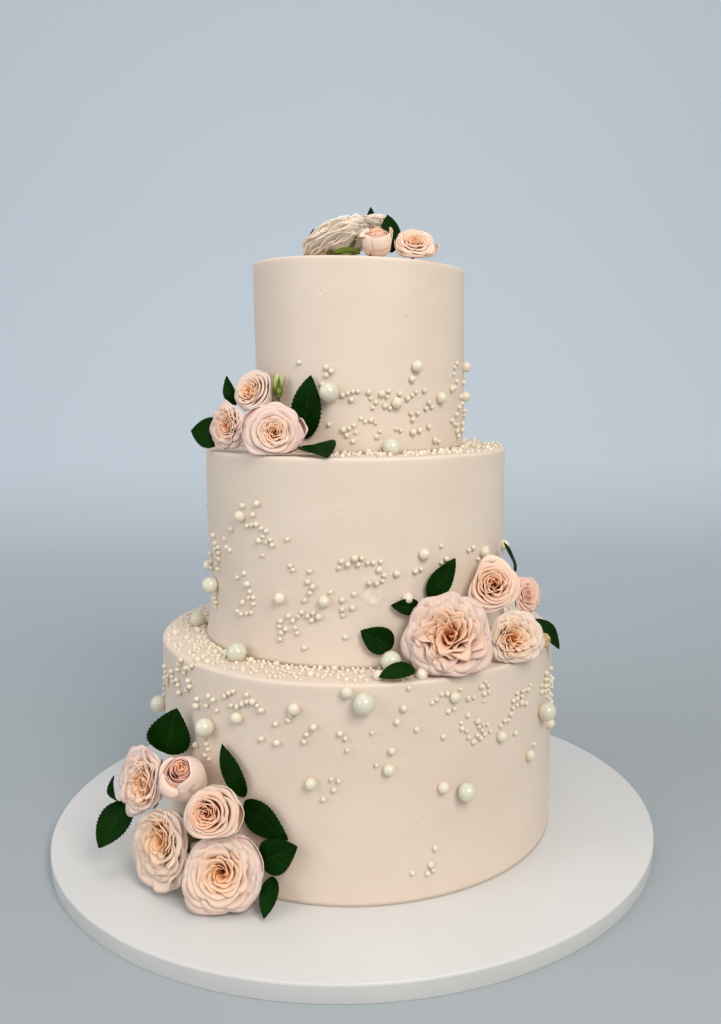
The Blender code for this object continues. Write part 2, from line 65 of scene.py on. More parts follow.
def turned_shape(outline, steps):
    """A closed turned body whose outline runs from the axis round the outside and back to the axis."""
    shape = bmesh.new()
    corners = [shape.verts.new((reach, 0.0, height)) for reach, height in outline]
    edges = [shape.edges.new(pair) for pair in zip(corners, corners[1:])]
    bmesh.ops.spin(shape, geom=corners + edges, cent=(0.0, 0.0, 0.0), axis=(0.0, 0.0, 1.0),
                   angle=2.0 * math.pi, steps=steps, use_merge=True)
    bmesh.ops.remove_doubles(shape, verts=shape.verts[:], dist=TOUCHING)
    bmesh.ops.recalc_face_normals(shape, faces=shape.faces[:])
    return shape


def arc(centre, radius, first, last, steps):
    """Points on a quarter or other arc in the outline, angles in degrees."""
    points = []
    for step in range(steps + 1):
        turn = math.radians(first + (last - first) * step / steps)
        points.append((centre[0] + radius * math.cos(turn), centre[1] + radius * math.sin(turn)))
    return points


def new_material(name, roughness):
    material = bpy.data.materials.new(name)
    material.use_nodes = True
    shader = material.node_tree.nodes["Principled BSDF"]
    shader.inputs["Roughness"].default_value = roughness
    return material, material.node_tree.nodes, material.node_tree.links, shader


def grain(nodes, links, source, scale, detail, stretch=(1.0, 1.0, 1.0)):
    """Noise on a coordinate output, stretched along an axis where a hand or a tool has drawn it out."""
    mapping = nodes.new("ShaderNodeMapping")
    mapping.inputs["Scale"].default_value = stretch
    links.new(source, mapping.inputs["Vector"])
    texture = nodes.new("ShaderNodeTexNoise")
    texture.inputs["Scale"].default_value = scale
    texture.inputs["Detail"].default_value = detail
    links.new(mapping.outputs["Vector"], texture.inputs["Vector"])
    return texture.outputs["Fac"]


def ramp(nodes, links, source, stops):
    """A colour ramp through (place, colour) stops."""
    band = nodes.new("ShaderNodeValToRGB")
    elements = band.color_ramp.elements
    while len(elements) < len(stops):
        elements.new(0.5)
    for element, (place, colour) in zip(elements, stops):
        element.position = place
        element.color = (*colour, 1.0)
    links.new(source, band.inputs["Fac"])
    return band.outputs["Color"]


def relief(nodes, links, shader, height, depth, onto=None):
    """Fine relief of this depth in metres, on top of a coarser one if there is one."""
    bump = nodes.new("ShaderNodeBump")
    bump.inputs["Strength"].default_value = 1.0
    bump.inputs["Distance"].default_value = depth
    links.new(height, bump.inputs["Height"])
    if onto:
        links.new(onto, bump.inputs["Normal"])
    links.new(bump.outputs["Normal"], shader.inputs["Normal"])
    return bump.outputs["Normal"]


def into_mesh(name, shape):
    """A mesh of this name from a shape, which is then let go."""
    mesh = bpy.data.meshes.new(name)
    shape.to_mesh(mesh)
    shape.free()
    return mesh


def into_scene(name, data):
    """An object with this mesh, light or camera."""
    thing = bpy.data.objects.new(name, data)
    bpy.context.scene.collection.objects.link(thing)
    return thing


def finish_piece(name, shape, materials, slot, *nodes):
    """Turns a shape into a piece that rides on the cake and stands for these nodes."""
    mesh = into_mesh(name, shape)
    mesh.shade_smooth()
    for material in materials:
        mesh.materials.append(material)
    piece = into_scene(name, mesh)
    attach(piece, "root")
    if nodes:
        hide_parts(*nodes)
    return piece


def mottled(name, roughness, shade, light, blotches, specks, depth):
    """A finish whose colour wanders from a shade to a light one, with fine relief of this depth.

    Blotches and specks are the scale and the detail of the noise in the colour and in the relief.
    """
    material, nodes, links, shader = new_material(name, roughness)
    place = nodes.new("ShaderNodeTexCoord").outputs["Object"]
    tone = grain(nodes, links, place, *blotches)
    links.new(ramp(nodes, links, tone, [(0.3, shade), (0.7, light)]), shader.inputs["Base Color"])
    relief(nodes, links, shader, grain(nodes, links, place, *specks), depth)
    return material, shader


def board_paper(name, shade, light):
    return mottled(name, 0.5, shade, light, (9.0, 3.0), (1400.0, 2.0), 0.02 * MM)[0]


board_shape = turned_shape([
    (0.0, BOARD_THICK),
    (0.5 * BOARD_RADIUS, BOARD_THICK),
    *arc((SHEET_RADIUS - PAPER_ROUNDING, BOARD_THICK - PAPER_ROUNDING), PAPER_ROUNDING, 90, 0, 4),
    (SHEET_RADIUS, BAND_TOP),
    (BOARD_RADIUS, BAND_TOP),
    *arc((BOARD_RADIUS - 0.5 * PAPER_ROUNDING, 0.5 * PAPER_ROUNDING), 0.5 * PAPER_ROUNDING, 0, -90, 3),
    (0.5 * BOARD_RADIUS, 0.0),
    (0.0, 0.0),
], BOARD_STEPS)
# The second paper is the same white paper darkened: painted shade on the upright edge.
papers = [board_paper("top_sheet", (0.66, 0.64, 0.61), (0.69, 0.67, 0.64)),
          board_paper("edge_band_painted_shade", (0.60, 0.585, 0.565), (0.64, 0.625, 0.605))]
board = finish_piece("board", board_shape, papers, "board", "cake_board")
board.data.set_sharp_from_angle(angle=math.radians(SHARP_EDGE))
# Faces round the edge below the sheet take the darker paper, the painted shade.
for face in board.data.polygons:
    if math.hypot(face.center.x, face.center.y) > SHEET_RADIUS and face.center.z < BAND_TOP:
        face.material_index = 1


# Three tiers
# Sponge drums covered with blush buttercream, smoothed with a scraper on a turntable, so that the walls
# are nearly true, with faint drawn lines, pits, and one dent where a pearl has come away.
CREAM_SOFTENING = 2.2 * MM
CREAM_UNEVEN = 0.35 * MM
FLARE_SHARE = 0.25
CLEAR = 0.3 * MM
ROW = 2.6 * MM
TIER_STEPS = 320
EDGE_STEPS = 5
TOP_DIPS = 0.25 * MM
PIT_PATCH = 2.2
PIT_EDGE = 0.72
LIP_SHARE = 0.18
LIP_PLACE = 1.35
LIP_WIDTH = 0.35


class Tier:
    """One covered sponge: a wall that may flare at its foot, and a level or sloping top."""

    def __init__(self, name, centre, radius, foot_radius, foot, height, fall):
        self.name = name
        self.centre = Vector((centre[0], centre[1], 0.0)) * MM
        self.radius = radius * MM
        self.foot_radius = foot_radius * MM
        self.foot = foot
        self.height = height * MM
        self.fall = fall
        self.top = foot + self.height

    def wall_radius(self, height):
        share = max(0.0, 1.0 - height / (FLARE_SHARE * self.height))
        return self.radius + (self.foot_radius - self.radius) * share ** 2

    def outward(self, azimuth):
        turn = math.radians(azimuth)
        return Vector((math.sin(turn), -math.cos(turn), 0.0))

    def on_wall(self, azimuth, height, out=0.0):
        """The point at this azimuth and height above the foot, in metres, out from the wall."""
        reach = self.wall_radius(height) + out
        return self.centre + self.outward(azimuth) * reach + Vector((0.0, 0.0, self.foot + height))

    def outline(self):
        soft = CREAM_SOFTENING
        rows = math.ceil((self.height - soft) / ROW)
        rings = math.ceil(self.radius / (3.0 * ROW))
        points = [((self.radius - soft) * ring / rings, self.height) for ring in range(rings)]
        points += arc((self.radius - soft, self.height - soft), soft, 90, 0, EDGE_STEPS)
        for row in range(1, rows):
            height = (self.height - soft) * (1.0 - row / rows)
            points.append((self.wall_radius(height), height))
        return points + [(self.foot_radius, 0.0), (0.0, 0.0)]

    def uneven(self, x, y, z):
        """How far the cream stands out from a true wall: slow waves, and the drag of the scraper."""
        turn = math.atan2(y, x)
        wave = math.sin(3.0 * turn + 40.0 * z) + 0.6 * math.sin(7.0 * turn - 25.0 * z)
        drag = noise.noise(Vector((18.0 * x, 18.0 * y, 55.0 * z + 9.0 * self.foot)))
        return CREAM_UNEVEN * (wave + 0.6 * drag)


BOTTOM_FOOT = BOARD_THICK + CLEAR
BOTTOM = Tier("tier_bottom", (3.0, -4.0), 144.2, 144.4, BOTTOM_FOOT, 144.2, 0.0)
MIDDLE = Tier("tier_middle", (2.0, -4.0), 108.7, 112.5, BOTTOM.top + CLEAR, 134.4, 0.0)
TOP = Tier("tier_top", (5.0, -4.0), 75.3, 75.0, MIDDLE.top + CLEAR, 127.0, 0.029)

# Pits and dents in the cream: tier, azimuth, height, radius, depth in millimetres
PITS = [
    (MIDDLE, 4.5, 50.0, 5.6, 1.7),
    (MIDDLE, 5.5, 45.0, 3.6, 1.0),
    (MIDDLE, -6.0, 100.0, 1.6, 0.5),
    (MIDDLE, -57.0, 78.0, 1.6, 0.5),
    (TOP, 24.0, 88.0, 1.8, 0.4),
    (TOP, -20.0, 104.0, 1.6, 0.4),
    (BOTTOM, 16.0, 54.0, 1.8, 0.5),
    (BOTTOM, -150.0, 70.0, 3.0, 0.7),
    (MIDDLE, 160.0, 88.0, 2.6, 0.6),
]


def press_pit(shape, tier, azimuth, height, radius, depth):
    """A round pit with a low raised lip, in a patch of finer mesh."""
    centre = tier.outward(azimuth) * tier.wall_radius(height * MM) + Vector((0.0, 0.0, height * MM))
    reach = radius * MM
    near = [edge for edge in shape.edges
            if all((vertex.co - centre).length < PIT_PATCH * reach + ROW for vertex in edge.verts)]
    bmesh.ops.subdivide_edges(shape, edges=near, cuts=2, use_grid_fill=True)
    for vertex in shape.verts:
        away = (vertex.co - centre).length / reach
        if away < LIP_PLACE + 3.0 * LIP_WIDTH:
            sink = math.exp(-(away / PIT_EDGE) ** 4)
            sink -= LIP_SHARE * math.exp(-((away - LIP_PLACE) / LIP_WIDTH) ** 2)
            vertex.co -= tier.outward(azimuth) * depth * MM * sink


def covered_tier(tier):
    """The cream over one tier: turned, made uneven, sloped with its top, and pitted."""
    shape = turned_shape(tier.outline(), TIER_STEPS)
    for vertex in shape.verts:
        x, y, z = vertex.co
        reach = math.hypot(x, y)
        if reach > 0.5 * tier.radius:
            scale = 1.0 + tier.uneven(x, y, z) / reach
            vertex.co.x = x * scale
            vertex.co.y = y * scale
        vertex.co.z = z - tier.fall * vertex.co.x * z / tier.height
        if z > 0.9 * tier.height:
            vertex.co.z += TOP_DIPS * noise.noise(Vector((30.0 * x, 30.0 * y, 3.0)))
    for pitted, azimuth, height, radius, depth in PITS:
        if pitted is tier:
            press_pit(shape, tier, azimuth, height, radius, depth)
    bmesh.ops.translate(shape, verts=shape.verts[:], vec=tier.centre + Vector((0.0, 0.0, tier.foot)))
    return shape


def lets_light_in(shader, share, spread, depth):
    """This share of the light goes as deep as this into the stuff, spread by red, green and blue."""
    shader.inputs["Subsurface Weight"].default_value = share
    shader.inputs["Subsurface Radius"].default_value = spread
    shader.inputs["Subsurface Scale"].default_value = depth


def buttercream():
    """Satin blush cream: faint cloudy tones, level scraper marks, and a fine crumb in the surface."""
    material, nodes, links, shader = new_material("blush_buttercream", 0.52)
    lets_light_in(shader, 0.18, (1.0, 0.55, 0.35), 4.0 * MM)
    shader.inputs["Specular IOR Level"].default_value = 0.35
    place = nodes.new("ShaderNodeTexCoord").outputs["Object"]
    tone = grain(nodes, links, place, 14.0, 4.0, (1.0, 1.0, 1.6))
    colour = ramp(nodes, links, tone, [(0.30, (0.725, 0.590, 0.475)), (0.70, (0.765, 0.635, 0.520))])
    links.new(colour, shader.inputs["Base Color"])
    drawn = relief(nodes, links, shader, grain(nodes, links, place, 26.0, 4.0, (1.0, 1.0, 5.0)), 0.16 * MM)
    relief(nodes, links, shader, grain(nodes, links, place, 700.0, 3.0), 0.05 * MM, drawn)
    return material


CREAM = buttercream()
for tier in (BOTTOM, MIDDLE, TOP):
    finish_piece(tier.name + "_cream", covered_tier(tier), [CREAM], "cream", tier.name)


# Large sugar pearls
# Sugar balls of 11.6 to 13.4 mm with an ivory lustre, pressed a tenth of their size into the soft cream,
# each a piece of its own. Smaller ones are pressed in further.
LARGE_SUNK = 0.10
SUNK_SHARE = 0.22


def sugar_lustre(name, roughness, shade, light):
    """Polished sugar: a little light goes in, and a thin coat gives the soft shine."""
    material, shader = mottled(name, roughness, shade, light, (110.0, 2.0), (420.0, 2.0), 0.04 * MM)
    lets_light_in(shader, 0.12, (1.0, 0.8, 0.5), 1.5 * MM)
    shader.inputs["Coat Weight"].default_value = 0.35
    shader.inputs["Coat Roughness"].default_value = 0.12
    return material


LUSTRE = sugar_lustre("ivory_lustre", 0.24, (0.64, 0.61, 0.47), (0.70, 0.67, 0.53))
BEAD_LUSTRE = sugar_lustre("bead_lustre", 0.40, (0.74, 0.65, 0.50), (0.80, 0.71, 0.56))


class Pearl:
    """A pearl by its centre, the way out of the cream beneath it, and its diameter."""

    def __init__(self, centre, outward, diameter):
        self.centre = centre
        self.outward = outward
        self.diameter = diameter

    def is_clear_of(self, others, spacing=1.15):
        return all((self.centre - other.centre).length
                   > spacing * 0.5 * (self.diameter + other.diameter) for other in others)


def wall_pearl(tier, azimuth, height, diameter, sunk=SUNK_SHARE):
    diameter *= MM
    centre = tier.on_wall(azimuth, height * MM, (0.5 - sunk) * diameter)
    return Pearl(centre, tier.outward(azimuth), diameter)


def ledge_pearl(tier, upper, azimuth, gap, diameter, sunk=SUNK_SHARE):
    """A pearl on a tier's top, its centre at this gap from the foot of the tier above."""
    diameter *= MM
    centre = upper.centre + upper.outward(azimuth) * (upper.foot_radius + gap * MM)
    centre.z = tier.top + (0.5 - sunk) * diameter
    return Pearl(centre, Vector((0.0, 0.0, 1.0)), diameter)


# On a wall: name, tier, azimuth, height, diameter
WALL_PEARLS = [
    ("pearl_top_front", TOP, -15, 40, 13.0),
    ("pearl_middle_left", MIDDLE, -65, 41, 11.6),
    ("pearl_bottom_centre", BOTTOM, 1, 134, 13.4),
    ("pearl_bottom_low", BOTTOM, 27, 69, 12.2),
    ("pearl_bottom_left", BOTTOM, -42, 106, 12.6),
    ("pearl_bottom_far_left", BOTTOM, -76, 96, 12.0),
    ("pearl_bottom_right", BOTTOM, 60, 100, 13.0),
    ("pearl_back_bottom_left", BOTTOM, -128, 112, 12.6),
    ("pearl_back_bottom_right", BOTTOM, 141, 92, 13.0),
    ("pearl_back_middle_right", MIDDLE, 118, 62, 12.0),
    ("pearl_back_middle_left", MIDDLE, -152, 38, 12.0),
    ("pearl_back_top", TOP, 165, 31, 12.4),
]
# On a ledge: name, tier with the ledge, tier above, azimuth, gap to the foot, diameter, raised
LEDGE_PEARLS = [
    ("pearl_ledge_left", BOTTOM, MIDDLE, -90, 7.4, 12.0, 0.0),
    ("pearl_ledge_front_left", BOTTOM, MIDDLE, -41.5, 7.8, 13.2, 0.0),
    ("pearl_ledge_leaf", BOTTOM, MIDDLE, 9.6, 12.5, 13.0, 3.0),
    ("pearl_ledge_top_tier", MIDDLE, TOP, 14, 7.5, 11.6, 0.0),
    ("pearl_ledge_back", BOTTOM, MIDDLE, 172, 8.0, 12.6, 0.0),
]

named_pearls = {name: wall_pearl(*place, LARGE_SUNK) for name, *place in WALL_PEARLS}
for name, *place, raised in LEDGE_PEARLS:
    named_pearls[name] = ledge_pearl(*place, LARGE_SUNK)
    named_pearls[name].centre.z += raised * MM
for name, pearl in named_pearls.items():
    shape = bmesh.new()
    turned_in = Vector((0.0, 0.0, 1.0)).rotation_difference(pearl.outward).to_matrix().to_4x4()
    bmesh.ops.create_uvsphere(shape, u_segments=32, v_segments=20, radius=0.5 * pearl.diameter,
                              matrix=Matrix.Translation(pearl.centre) @ turned_in)
    finish_piece(name + "_sugar", shape, [LUSTRE], "pearl", name)
big = list(named_pearls.values())


# Strewn sugar pearls
# Balls of 7.6 mm, of 3 to 5 mm, and seeds of 2.4 to 3.2 mm, pressed in with the fingertips singly and in
# short strings on the walls, and poured along both ledges. They are joined into three pieces by size.
MIDDLING_PEARL = 7.6
SMALL_PEARL = (3.4, 5.0)
STRUNG_PEARL = (3.0, 4.1)
SEED = (2.4, 3.2)
SEED_SUNK = 0.30
SEED_SHARE = 0.85
STEP_ASIDE = (4.5, 8.5)
BACK_AZIMUTHS = (84.0, 276.0)
BACK_SEED = 50
STRING_SEED = 500
NEAR_WALL = 1.8
RIM_FREE = 4.0
ROW_GAP = (3.6, 10.0)

# Balls of middling size on the walls: azimuth and height
ON_TOP = [(18, 33), (29, 57), (45, 36), (77, 57), (75, 36)]
ON_MIDDLE = [(-44, 94), (-27, 43), (-11, 43), (23, 72), (51, 67), (-73, 52), (71, 66), (17, 44)]
ON_BOTTOM = [(-3, 140), (24, 132), (7, 90), (-12, 81), (21, 74), (39, 98), (52, 75), (-32, 117),
             (-16, 128), (68, 84)]
# The same on the ledge of the bottom tier: azimuth and gap from the foot of the tier above
ON_LEDGE = [(5.5, 22.0), (16.5, 26.5), (47.0, 19.0)]
# Small pearls that stand alone: azimuth, height, and the lean of the step to their place
SINGLE_TOP = [
    (-36, 57, 20), (-17, 56, -40), (-8, 38, 10), (5, 38, 0), (25, 42, 70), (52, 48, -60), (28, 22, -80),
    (40, 12, -90), (-12, 20, -60), (62, 30, -70),
]
SINGLE_MIDDLE = [
    (-39, 108, -80), (-37, 86, -30), (-56, 72, -60), (-45, 54, -80), (-20, 60, -60), (-17, 36, -10),
    (-26, 28, 20), (-3, 77, -70), (5, 66, 10), (12, 55, 60), (42, 76, -80), (-2, 44, -30),
]
SINGLE_BOTTOM = [
    (-58, 124, -60), (-50, 118, -10), (-30, 127, 20), (-21, 112, -60), (-47, 96, -70), (-13, 118, -60),
    (-5, 120, -70), (10, 136, -80), (22, 130, -50), (31, 128, 50), (30, 106, 30), (45, 112, 60),
    (62, 122, -80), (5, 97, -10), (-8, 84, -80), (18, 32, -80),
]
# Short strings whose pearls touch: azimuth and height of the first, how many, and the way they run in
# degrees. A place with no more than that has one pearl.
STRINGS_TOP = [
    (-17, 56, 2, 0), (-19, 45), (-9, 38, 2, 30), (-5, 41, 2, -20), (4, 40), (5, 36, 2, 0), (10, 37),
    (14, 37), (6, 30, 2, 50), (12, 31, 2, 0), (0, 23), (5, 22), (-16, 19), (-11, 17, 4, 5),
    (-7, 12, 2, 10), (-4, 8), (8, 11, 2, 20), (18, 16, 2, 10), (24, 36, 2, 40), (29, 40), (34, 41),
    (26, 26), (30, 26), (27, 22), (37, 33), (35, 29), (39, 30), (28, 16), (37, 17), (40, 7),
    (58, 52, 3, 60), (61, 47), (54, 43), (68, 36, 2, -60), (65, 29), (56, 20, 3, -30), (62, 14, 2, -60),
    (74, 46), (73, 17, 2, -70), (78, 26, 2, -80),
]
STRINGS_MIDDLE = [
    (-43, 101), (-38, 96), (-41, 88, 3, 5), (-37, 91, 2, -30), (-36, 82, 3, -25), (-34, 79), (-34, 70),
    (-24, 82), (-50, 84), (-65, 76), (-55, 76), (-63, 71, 5, -80), (-60, 69, 2, -60), (-52, 69),
    (-60, 61), (-71, 61, 3, -80), (-23, 65, 2, -25), (-16, 62), (-17, 54), (-16, 48), (-18, 43),
    (-19, 35), (-23, 31, 3, -50), (-27, 28, 3, -80), (-25, 23, 3, 20), (-27, 16), (-18, 12),
    (-6, 65, 2, 50), (-3, 67, 2, 10), (0, 68, 2, -10), (4, 67, 2, 15), (8, 66, 2, -70), (4, 55, 2, 0),
    (30, 76), (30, 65, 2, 20), (20, 61, 2, 0), (43, 72), (53, 69), (48, 63), (-9, 49), (-5, 44), (-1, 48),
    (-5, 38, 2, -60), (-15, 35, 2, -80), (-4, 20), (-43, 56), (-47, 52), (-42, 50, 2, -70),
    (-41, 40, 2, -50), (-44, 36), (-47, 29, 2, -60), (-42, 29, 2, 0), (-66, 31, 3, -70),
    (-72, 41, 2, -80),
]
STRINGS_BOTTOM = [
    (-57, 135, 3, 60), (-53, 135, 4, 30), (-51, 131, 2, -60), (-58, 127, 2, -80), (-62, 130, 3, -70),
    (-66, 124, 3, -80), (-70, 128, 3, -70), (-72, 114, 3, -80), (-52, 124), (-47, 121),
    (-42, 126, 2, -10), (-43, 119), (-39, 118), (-36, 129, 3, 60), (-34, 124), (-32, 124, 3, 30),
    (-29, 133), (-26, 127, 2, -40), (-18, 129, 2, -85), (-21, 117), (-25, 106), (-13, 112, 2, -85),
    (-4, 111), (-3, 103), (3, 114), (9, 120), (4, 93), (-7, 84, 2, 5), (-9, 71), (-46, 106),
    (-44, 97, 3, -80), (-44, 85, 2, 0), (12, 141), (14, 114), (18, 130, 3, 20), (21, 134, 2, 10),
    (24, 124), (28, 129, 2, -40), (31, 136), (34, 135), (33, 130, 2, -30), (33, 125), (28, 118),
    (26, 114, 2, -80), (27, 110, 3, -40), (31, 109, 3, 10), (29, 103, 2, -10), (32, 101, 3, 10),
    (21, 107), (39, 105, 3, 10), (42, 109), (43, 104, 2, 60), (45, 114, 3, 60), (48, 119, 3, 40),
    (50, 113), (51, 122, 2, 60), (45, 96), (55, 80), (60, 118, 2, -60), (64, 124, 3, -80),
    (67, 117, 4, -80), (71, 122, 4, -80), (70, 104, 4, -80), (74, 112, 3, -80), (76, 98, 3, -80),
    (19, 34), (13, 20), (17, 18, 2, 0),
]


def small_pearl(tier, seed, azimuth, height, lean, placed):
    """A pearl that stands alone: a step away from its spot, where it finds room."""
    draw = random.Random(seed)
    for _ in range(12):
        turn = math.radians(lean) + draw.uniform(-0.9, 0.9)
        step = draw.uniform(*STEP_ASIDE)
        at_azimuth = azimuth + math.degrees(step * math.cos(turn) * MM / tier.radius)
        at_height = height + step * math.sin(turn)
        pearl = wall_pearl(tier, at_azimuth, at_height, draw.uniform(*SMALL_PEARL))
        if pearl.is_clear_of(placed):
            return [pearl]
    return []


def string(tier, draw, azimuth, height, count, lean, placed):
    """A short string of pearls that touch, the first of them at this spot if there is room."""
    made = []
    for _ in range(count):
        for _ in range(10):
            diameter = draw.uniform(*STRUNG_PEARL)
            turn = math.radians(lean) + draw.uniform(-0.8, 0.8)
            pearl = wall_pearl(tier, azimuth, height, diameter)
            if pearl.is_clear_of(placed + made, 1.0):
                made.append(pearl)
                break
            azimuth += math.degrees(0.4 * diameter * math.cos(turn) * MM / tier.radius)
            height += 0.4 * diameter * math.sin(turn)
        azimuth += math.degrees(diameter * math.cos(turn) * MM / tier.radius)
        height += diameter * math.sin(turn)
    return made


def tier_pearls(tier, middling, singles, strings, back_strings, lowest, highest, seed):
    """The front follows the lists, and the back is strewn by a seeded draw between two heights."""
    draw = random.Random(seed)
    pearls = [wall_pearl(tier, azimuth, height, MIDDLING_PEARL) for azimuth, height in middling]
    for number, (azimuth, height, lean) in enumerate(singles):
        pearls += small_pearl(tier, seed + number, azimuth, height, lean, pearls + big)
    for number in range(back_strings):
        azimuth = 90.0 + 180.0 * (number + draw.uniform(0.2, 0.8)) / back_strings
        height = draw.uniform(lowest, highest)
        lean = draw.uniform(-90.0, 60.0)
        if number % 3 == 0:
            pearl = wall_pearl(tier, azimuth, height + 9.0, MIDDLING_PEARL)
            if pearl.is_clear_of(pearls + big):
                pearls.append(pearl)
        pearls += small_pearl(tier, seed + BACK_SEED + number, azimuth, height, lean, pearls + big)
    more = random.Random(seed + STRING_SEED)
    for azimuth, height, *run in strings:
        pearls += string(tier, more, azimuth, height, *(run or (1, 0)), pearls + big)
    for _ in range(9 * back_strings):
        azimuth = more.uniform(*BACK_AZIMUTHS)
        height = more.uniform(lowest, highest)
        run = more.randint(1, 4), more.uniform(-90, 60)
        pearls += string(tier, more, azimuth, height, *run, pearls + big)
    return pearls


def ledge_row(tier, upper, placed, step, skipped, seed):
    """The larger balls strewn round the foot of the tier above, but not under the roses.

    Step is the usual distance between them in degrees, and the azimuths that are skipped lie between two.
    """
    draw = random.Random(seed)
    row = []
    azimuth = -180.0
    while azimuth < 180.0:
        gap = draw.uniform(*ROW_GAP)
        pearl = ledge_pearl(tier, upper, azimuth, gap, draw.uniform(*SMALL_PEARL))
        if not skipped[0] < azimuth < skipped[1] and pearl.is_clear_of(placed + row):
            row.append(pearl)
        azimuth += step * draw.uniform(0.6, 1.4)
    return row


def poured_seeds(tier, upper, placed, tries, skipped, seed):
    """Seeds poured along a ledge, thick by the wall above and thin towards the rim."""
    draw = random.Random(seed)
    made = []
    width = (tier.radius - upper.foot_radius) / MM - RIM_FREE - NEAR_WALL
    for _ in range(tries):
        azimuth = draw.uniform(-180.0, 180.0)
        thick = 0.5 + 0.5 * noise.noise(Vector((0.05 * azimuth, seed, 0.0)))
        gap = NEAR_WALL + width * draw.random() ** (1.6 + 2.4 * (1.0 - thick))
        diameter = draw.uniform(*(SEED if draw.random() < SEED_SHARE else SMALL_PEARL))
        pearl = ledge_pearl(tier, upper, azimuth, gap, diameter, SEED_SUNK)
        if skipped[0] < azimuth < skipped[1] or not pearl.is_clear_of(placed + made, 1.0):
            continue
        made.append(pearl)
    return made


strewn = tier_pearls(BOTTOM, ON_BOTTOM, SINGLE_BOTTOM, STRINGS_BOTTOM,
                     back_strings=5, lowest=80.0, highest=128.0, seed=10)
strewn += [ledge_pearl(BOTTOM, MIDDLE, azimuth, gap, MIDDLING_PEARL) for azimuth, gap in ON_LEDGE]
strewn += ledge_row(BOTTOM, MIDDLE, strewn + big, step=26.0, skipped=(2.0, 80.0), seed=71)
strewn += poured_seeds(BOTTOM, MIDDLE, strewn + big, tries=1500, skipped=(12.0, 76.0), seed=7)
on_middle = tier_pearls(MIDDLE, ON_MIDDLE, SINGLE_MIDDLE, STRINGS_MIDDLE,
                        back_strings=4, lowest=25.0, highest=100.0, seed=20)
on_middle += ledge_row(MIDDLE, TOP, on_middle + big, step=34.0, skipped=(-90.0, -10.0), seed=72)
on_middle += poured_seeds(MIDDLE, TOP, on_middle + big, tries=800, skipped=(-85.0, -12.0), seed=8)
on_top = tier_pearls(TOP, ON_TOP, SINGLE_TOP, STRINGS_TOP,
                     back_strings=5, lowest=15.0, highest=58.0, seed=30)
strewn += on_middle + on_top


def ball_strewer(segments, rings):
    """Geometry nodes that set a ball on each point, as large and turned as the point says."""
    group = bpy.data.node_groups.new("balls_on_points", "GeometryNodeTree")
    for way in ("INPUT", "OUTPUT"):
        group.interface.new_socket("Geometry", in_out=way, socket_type="NodeSocketGeometry")
    nodes, links = group.nodes, group.links
    start = nodes.new("NodeGroupInput")
    end = nodes.new("NodeGroupOutput")
    ball = nodes.new("GeometryNodeMeshUVSphere")
    ball.inputs["Segments"].default_value = segments
    ball.inputs["Rings"].default_value = rings
    ball.inputs["Radius"].default_value = 0.5
    strewn_on = nodes.new("GeometryNodeInstanceOnPoints")
    realized = nodes.new("GeometryNodeRealizeInstances")
    for attribute, kind, socket in (("diameter", "FLOAT", "Scale"), ("turned", "FLOAT_VECTOR", "Rotation")):
        named = nodes.new("GeometryNodeInputNamedAttribute")
        named.data_type = kind
        named.inputs["Name"].default_value = attribute
        links.new(named.outputs["Attribute"], strewn_on.inputs[socket])
    links.new(start.outputs[0], strewn_on.inputs["Points"])
    links.new(ball.outputs["Mesh"], strewn_on.inputs["Instance"])
    links.new(strewn_on.outputs["Instances"], realized.inputs["Geometry"])
    links.new(realized.outputs["Geometry"], end.inputs[0])
    return group


def pearls_of_a_size(name, least, most, segments, rings):
    """One joined piece of all the strewn pearls between two diameters."""
    chosen = [pearl for pearl in strewn if least <= pearl.diameter / MM < most]
    shape = bmesh.new()
    diameter = shape.verts.layers.float.new("diameter")
    turned = shape.verts.layers.float_vector.new("turned")
    for pearl in chosen:
        vertex = shape.verts.new(pearl.centre)
        vertex[diameter] = pearl.diameter
        vertex[turned] = Vector((0.0, 0.0, 1.0)).rotation_difference(pearl.outward).to_euler()
    points = into_scene(name + "_points", into_mesh(name, shape))
    points.modifiers.new("balls", "NODES").node_group = ball_strewer(segments, rings)
    realized = bpy.data.meshes.new_from_object(points.evaluated_get(bpy.context.evaluated_depsgraph_get()))
    bpy.data.objects.remove(points, do_unlink=True)
    shape = bmesh.new()
    shape.from_mesh(realized)
    bpy.data.meshes.remove(realized)
    finish_piece(name, shape, [BEAD_LUSTRE], "pearl")


pearls_of_a_size("middling_pearls", 6.0, 9.0, segments=16, rings=10)
pearls_of_a_size("small_pearls", 3.5, 6.0, segments=10, rings=6)
pearls_of_a_size("seed_pearls", 0.0, 3.5, segments=8, rings=5)


# Garden roses
# Fresh spray roses of 22 to 60 mm, with an 11 mm floret and a 9 mm shut bud, each pushed into the cake by
# its short stem. Every rose is built up from its own petals, laid in rows from the open outer ones to
# the curled heart.
BOARD_DRUM = (Vector((0.0, 0.0, 0.0)), BOARD_RADIUS, 0.0, BOARD_THICK)
LEAF_ROOM = 3.6 * MM
PETAL_THICK = 0.3 * MM
WIDE_PETAL = (16, 14)
INNER_PETAL = (12, 10)
ROSE_SEED = 300
CRUMPLE_SEED = 4
# Without a seed of its own the noise that crumples the petals differs from one run to the next
noise.seed_set(CRUMPLE_SEED)

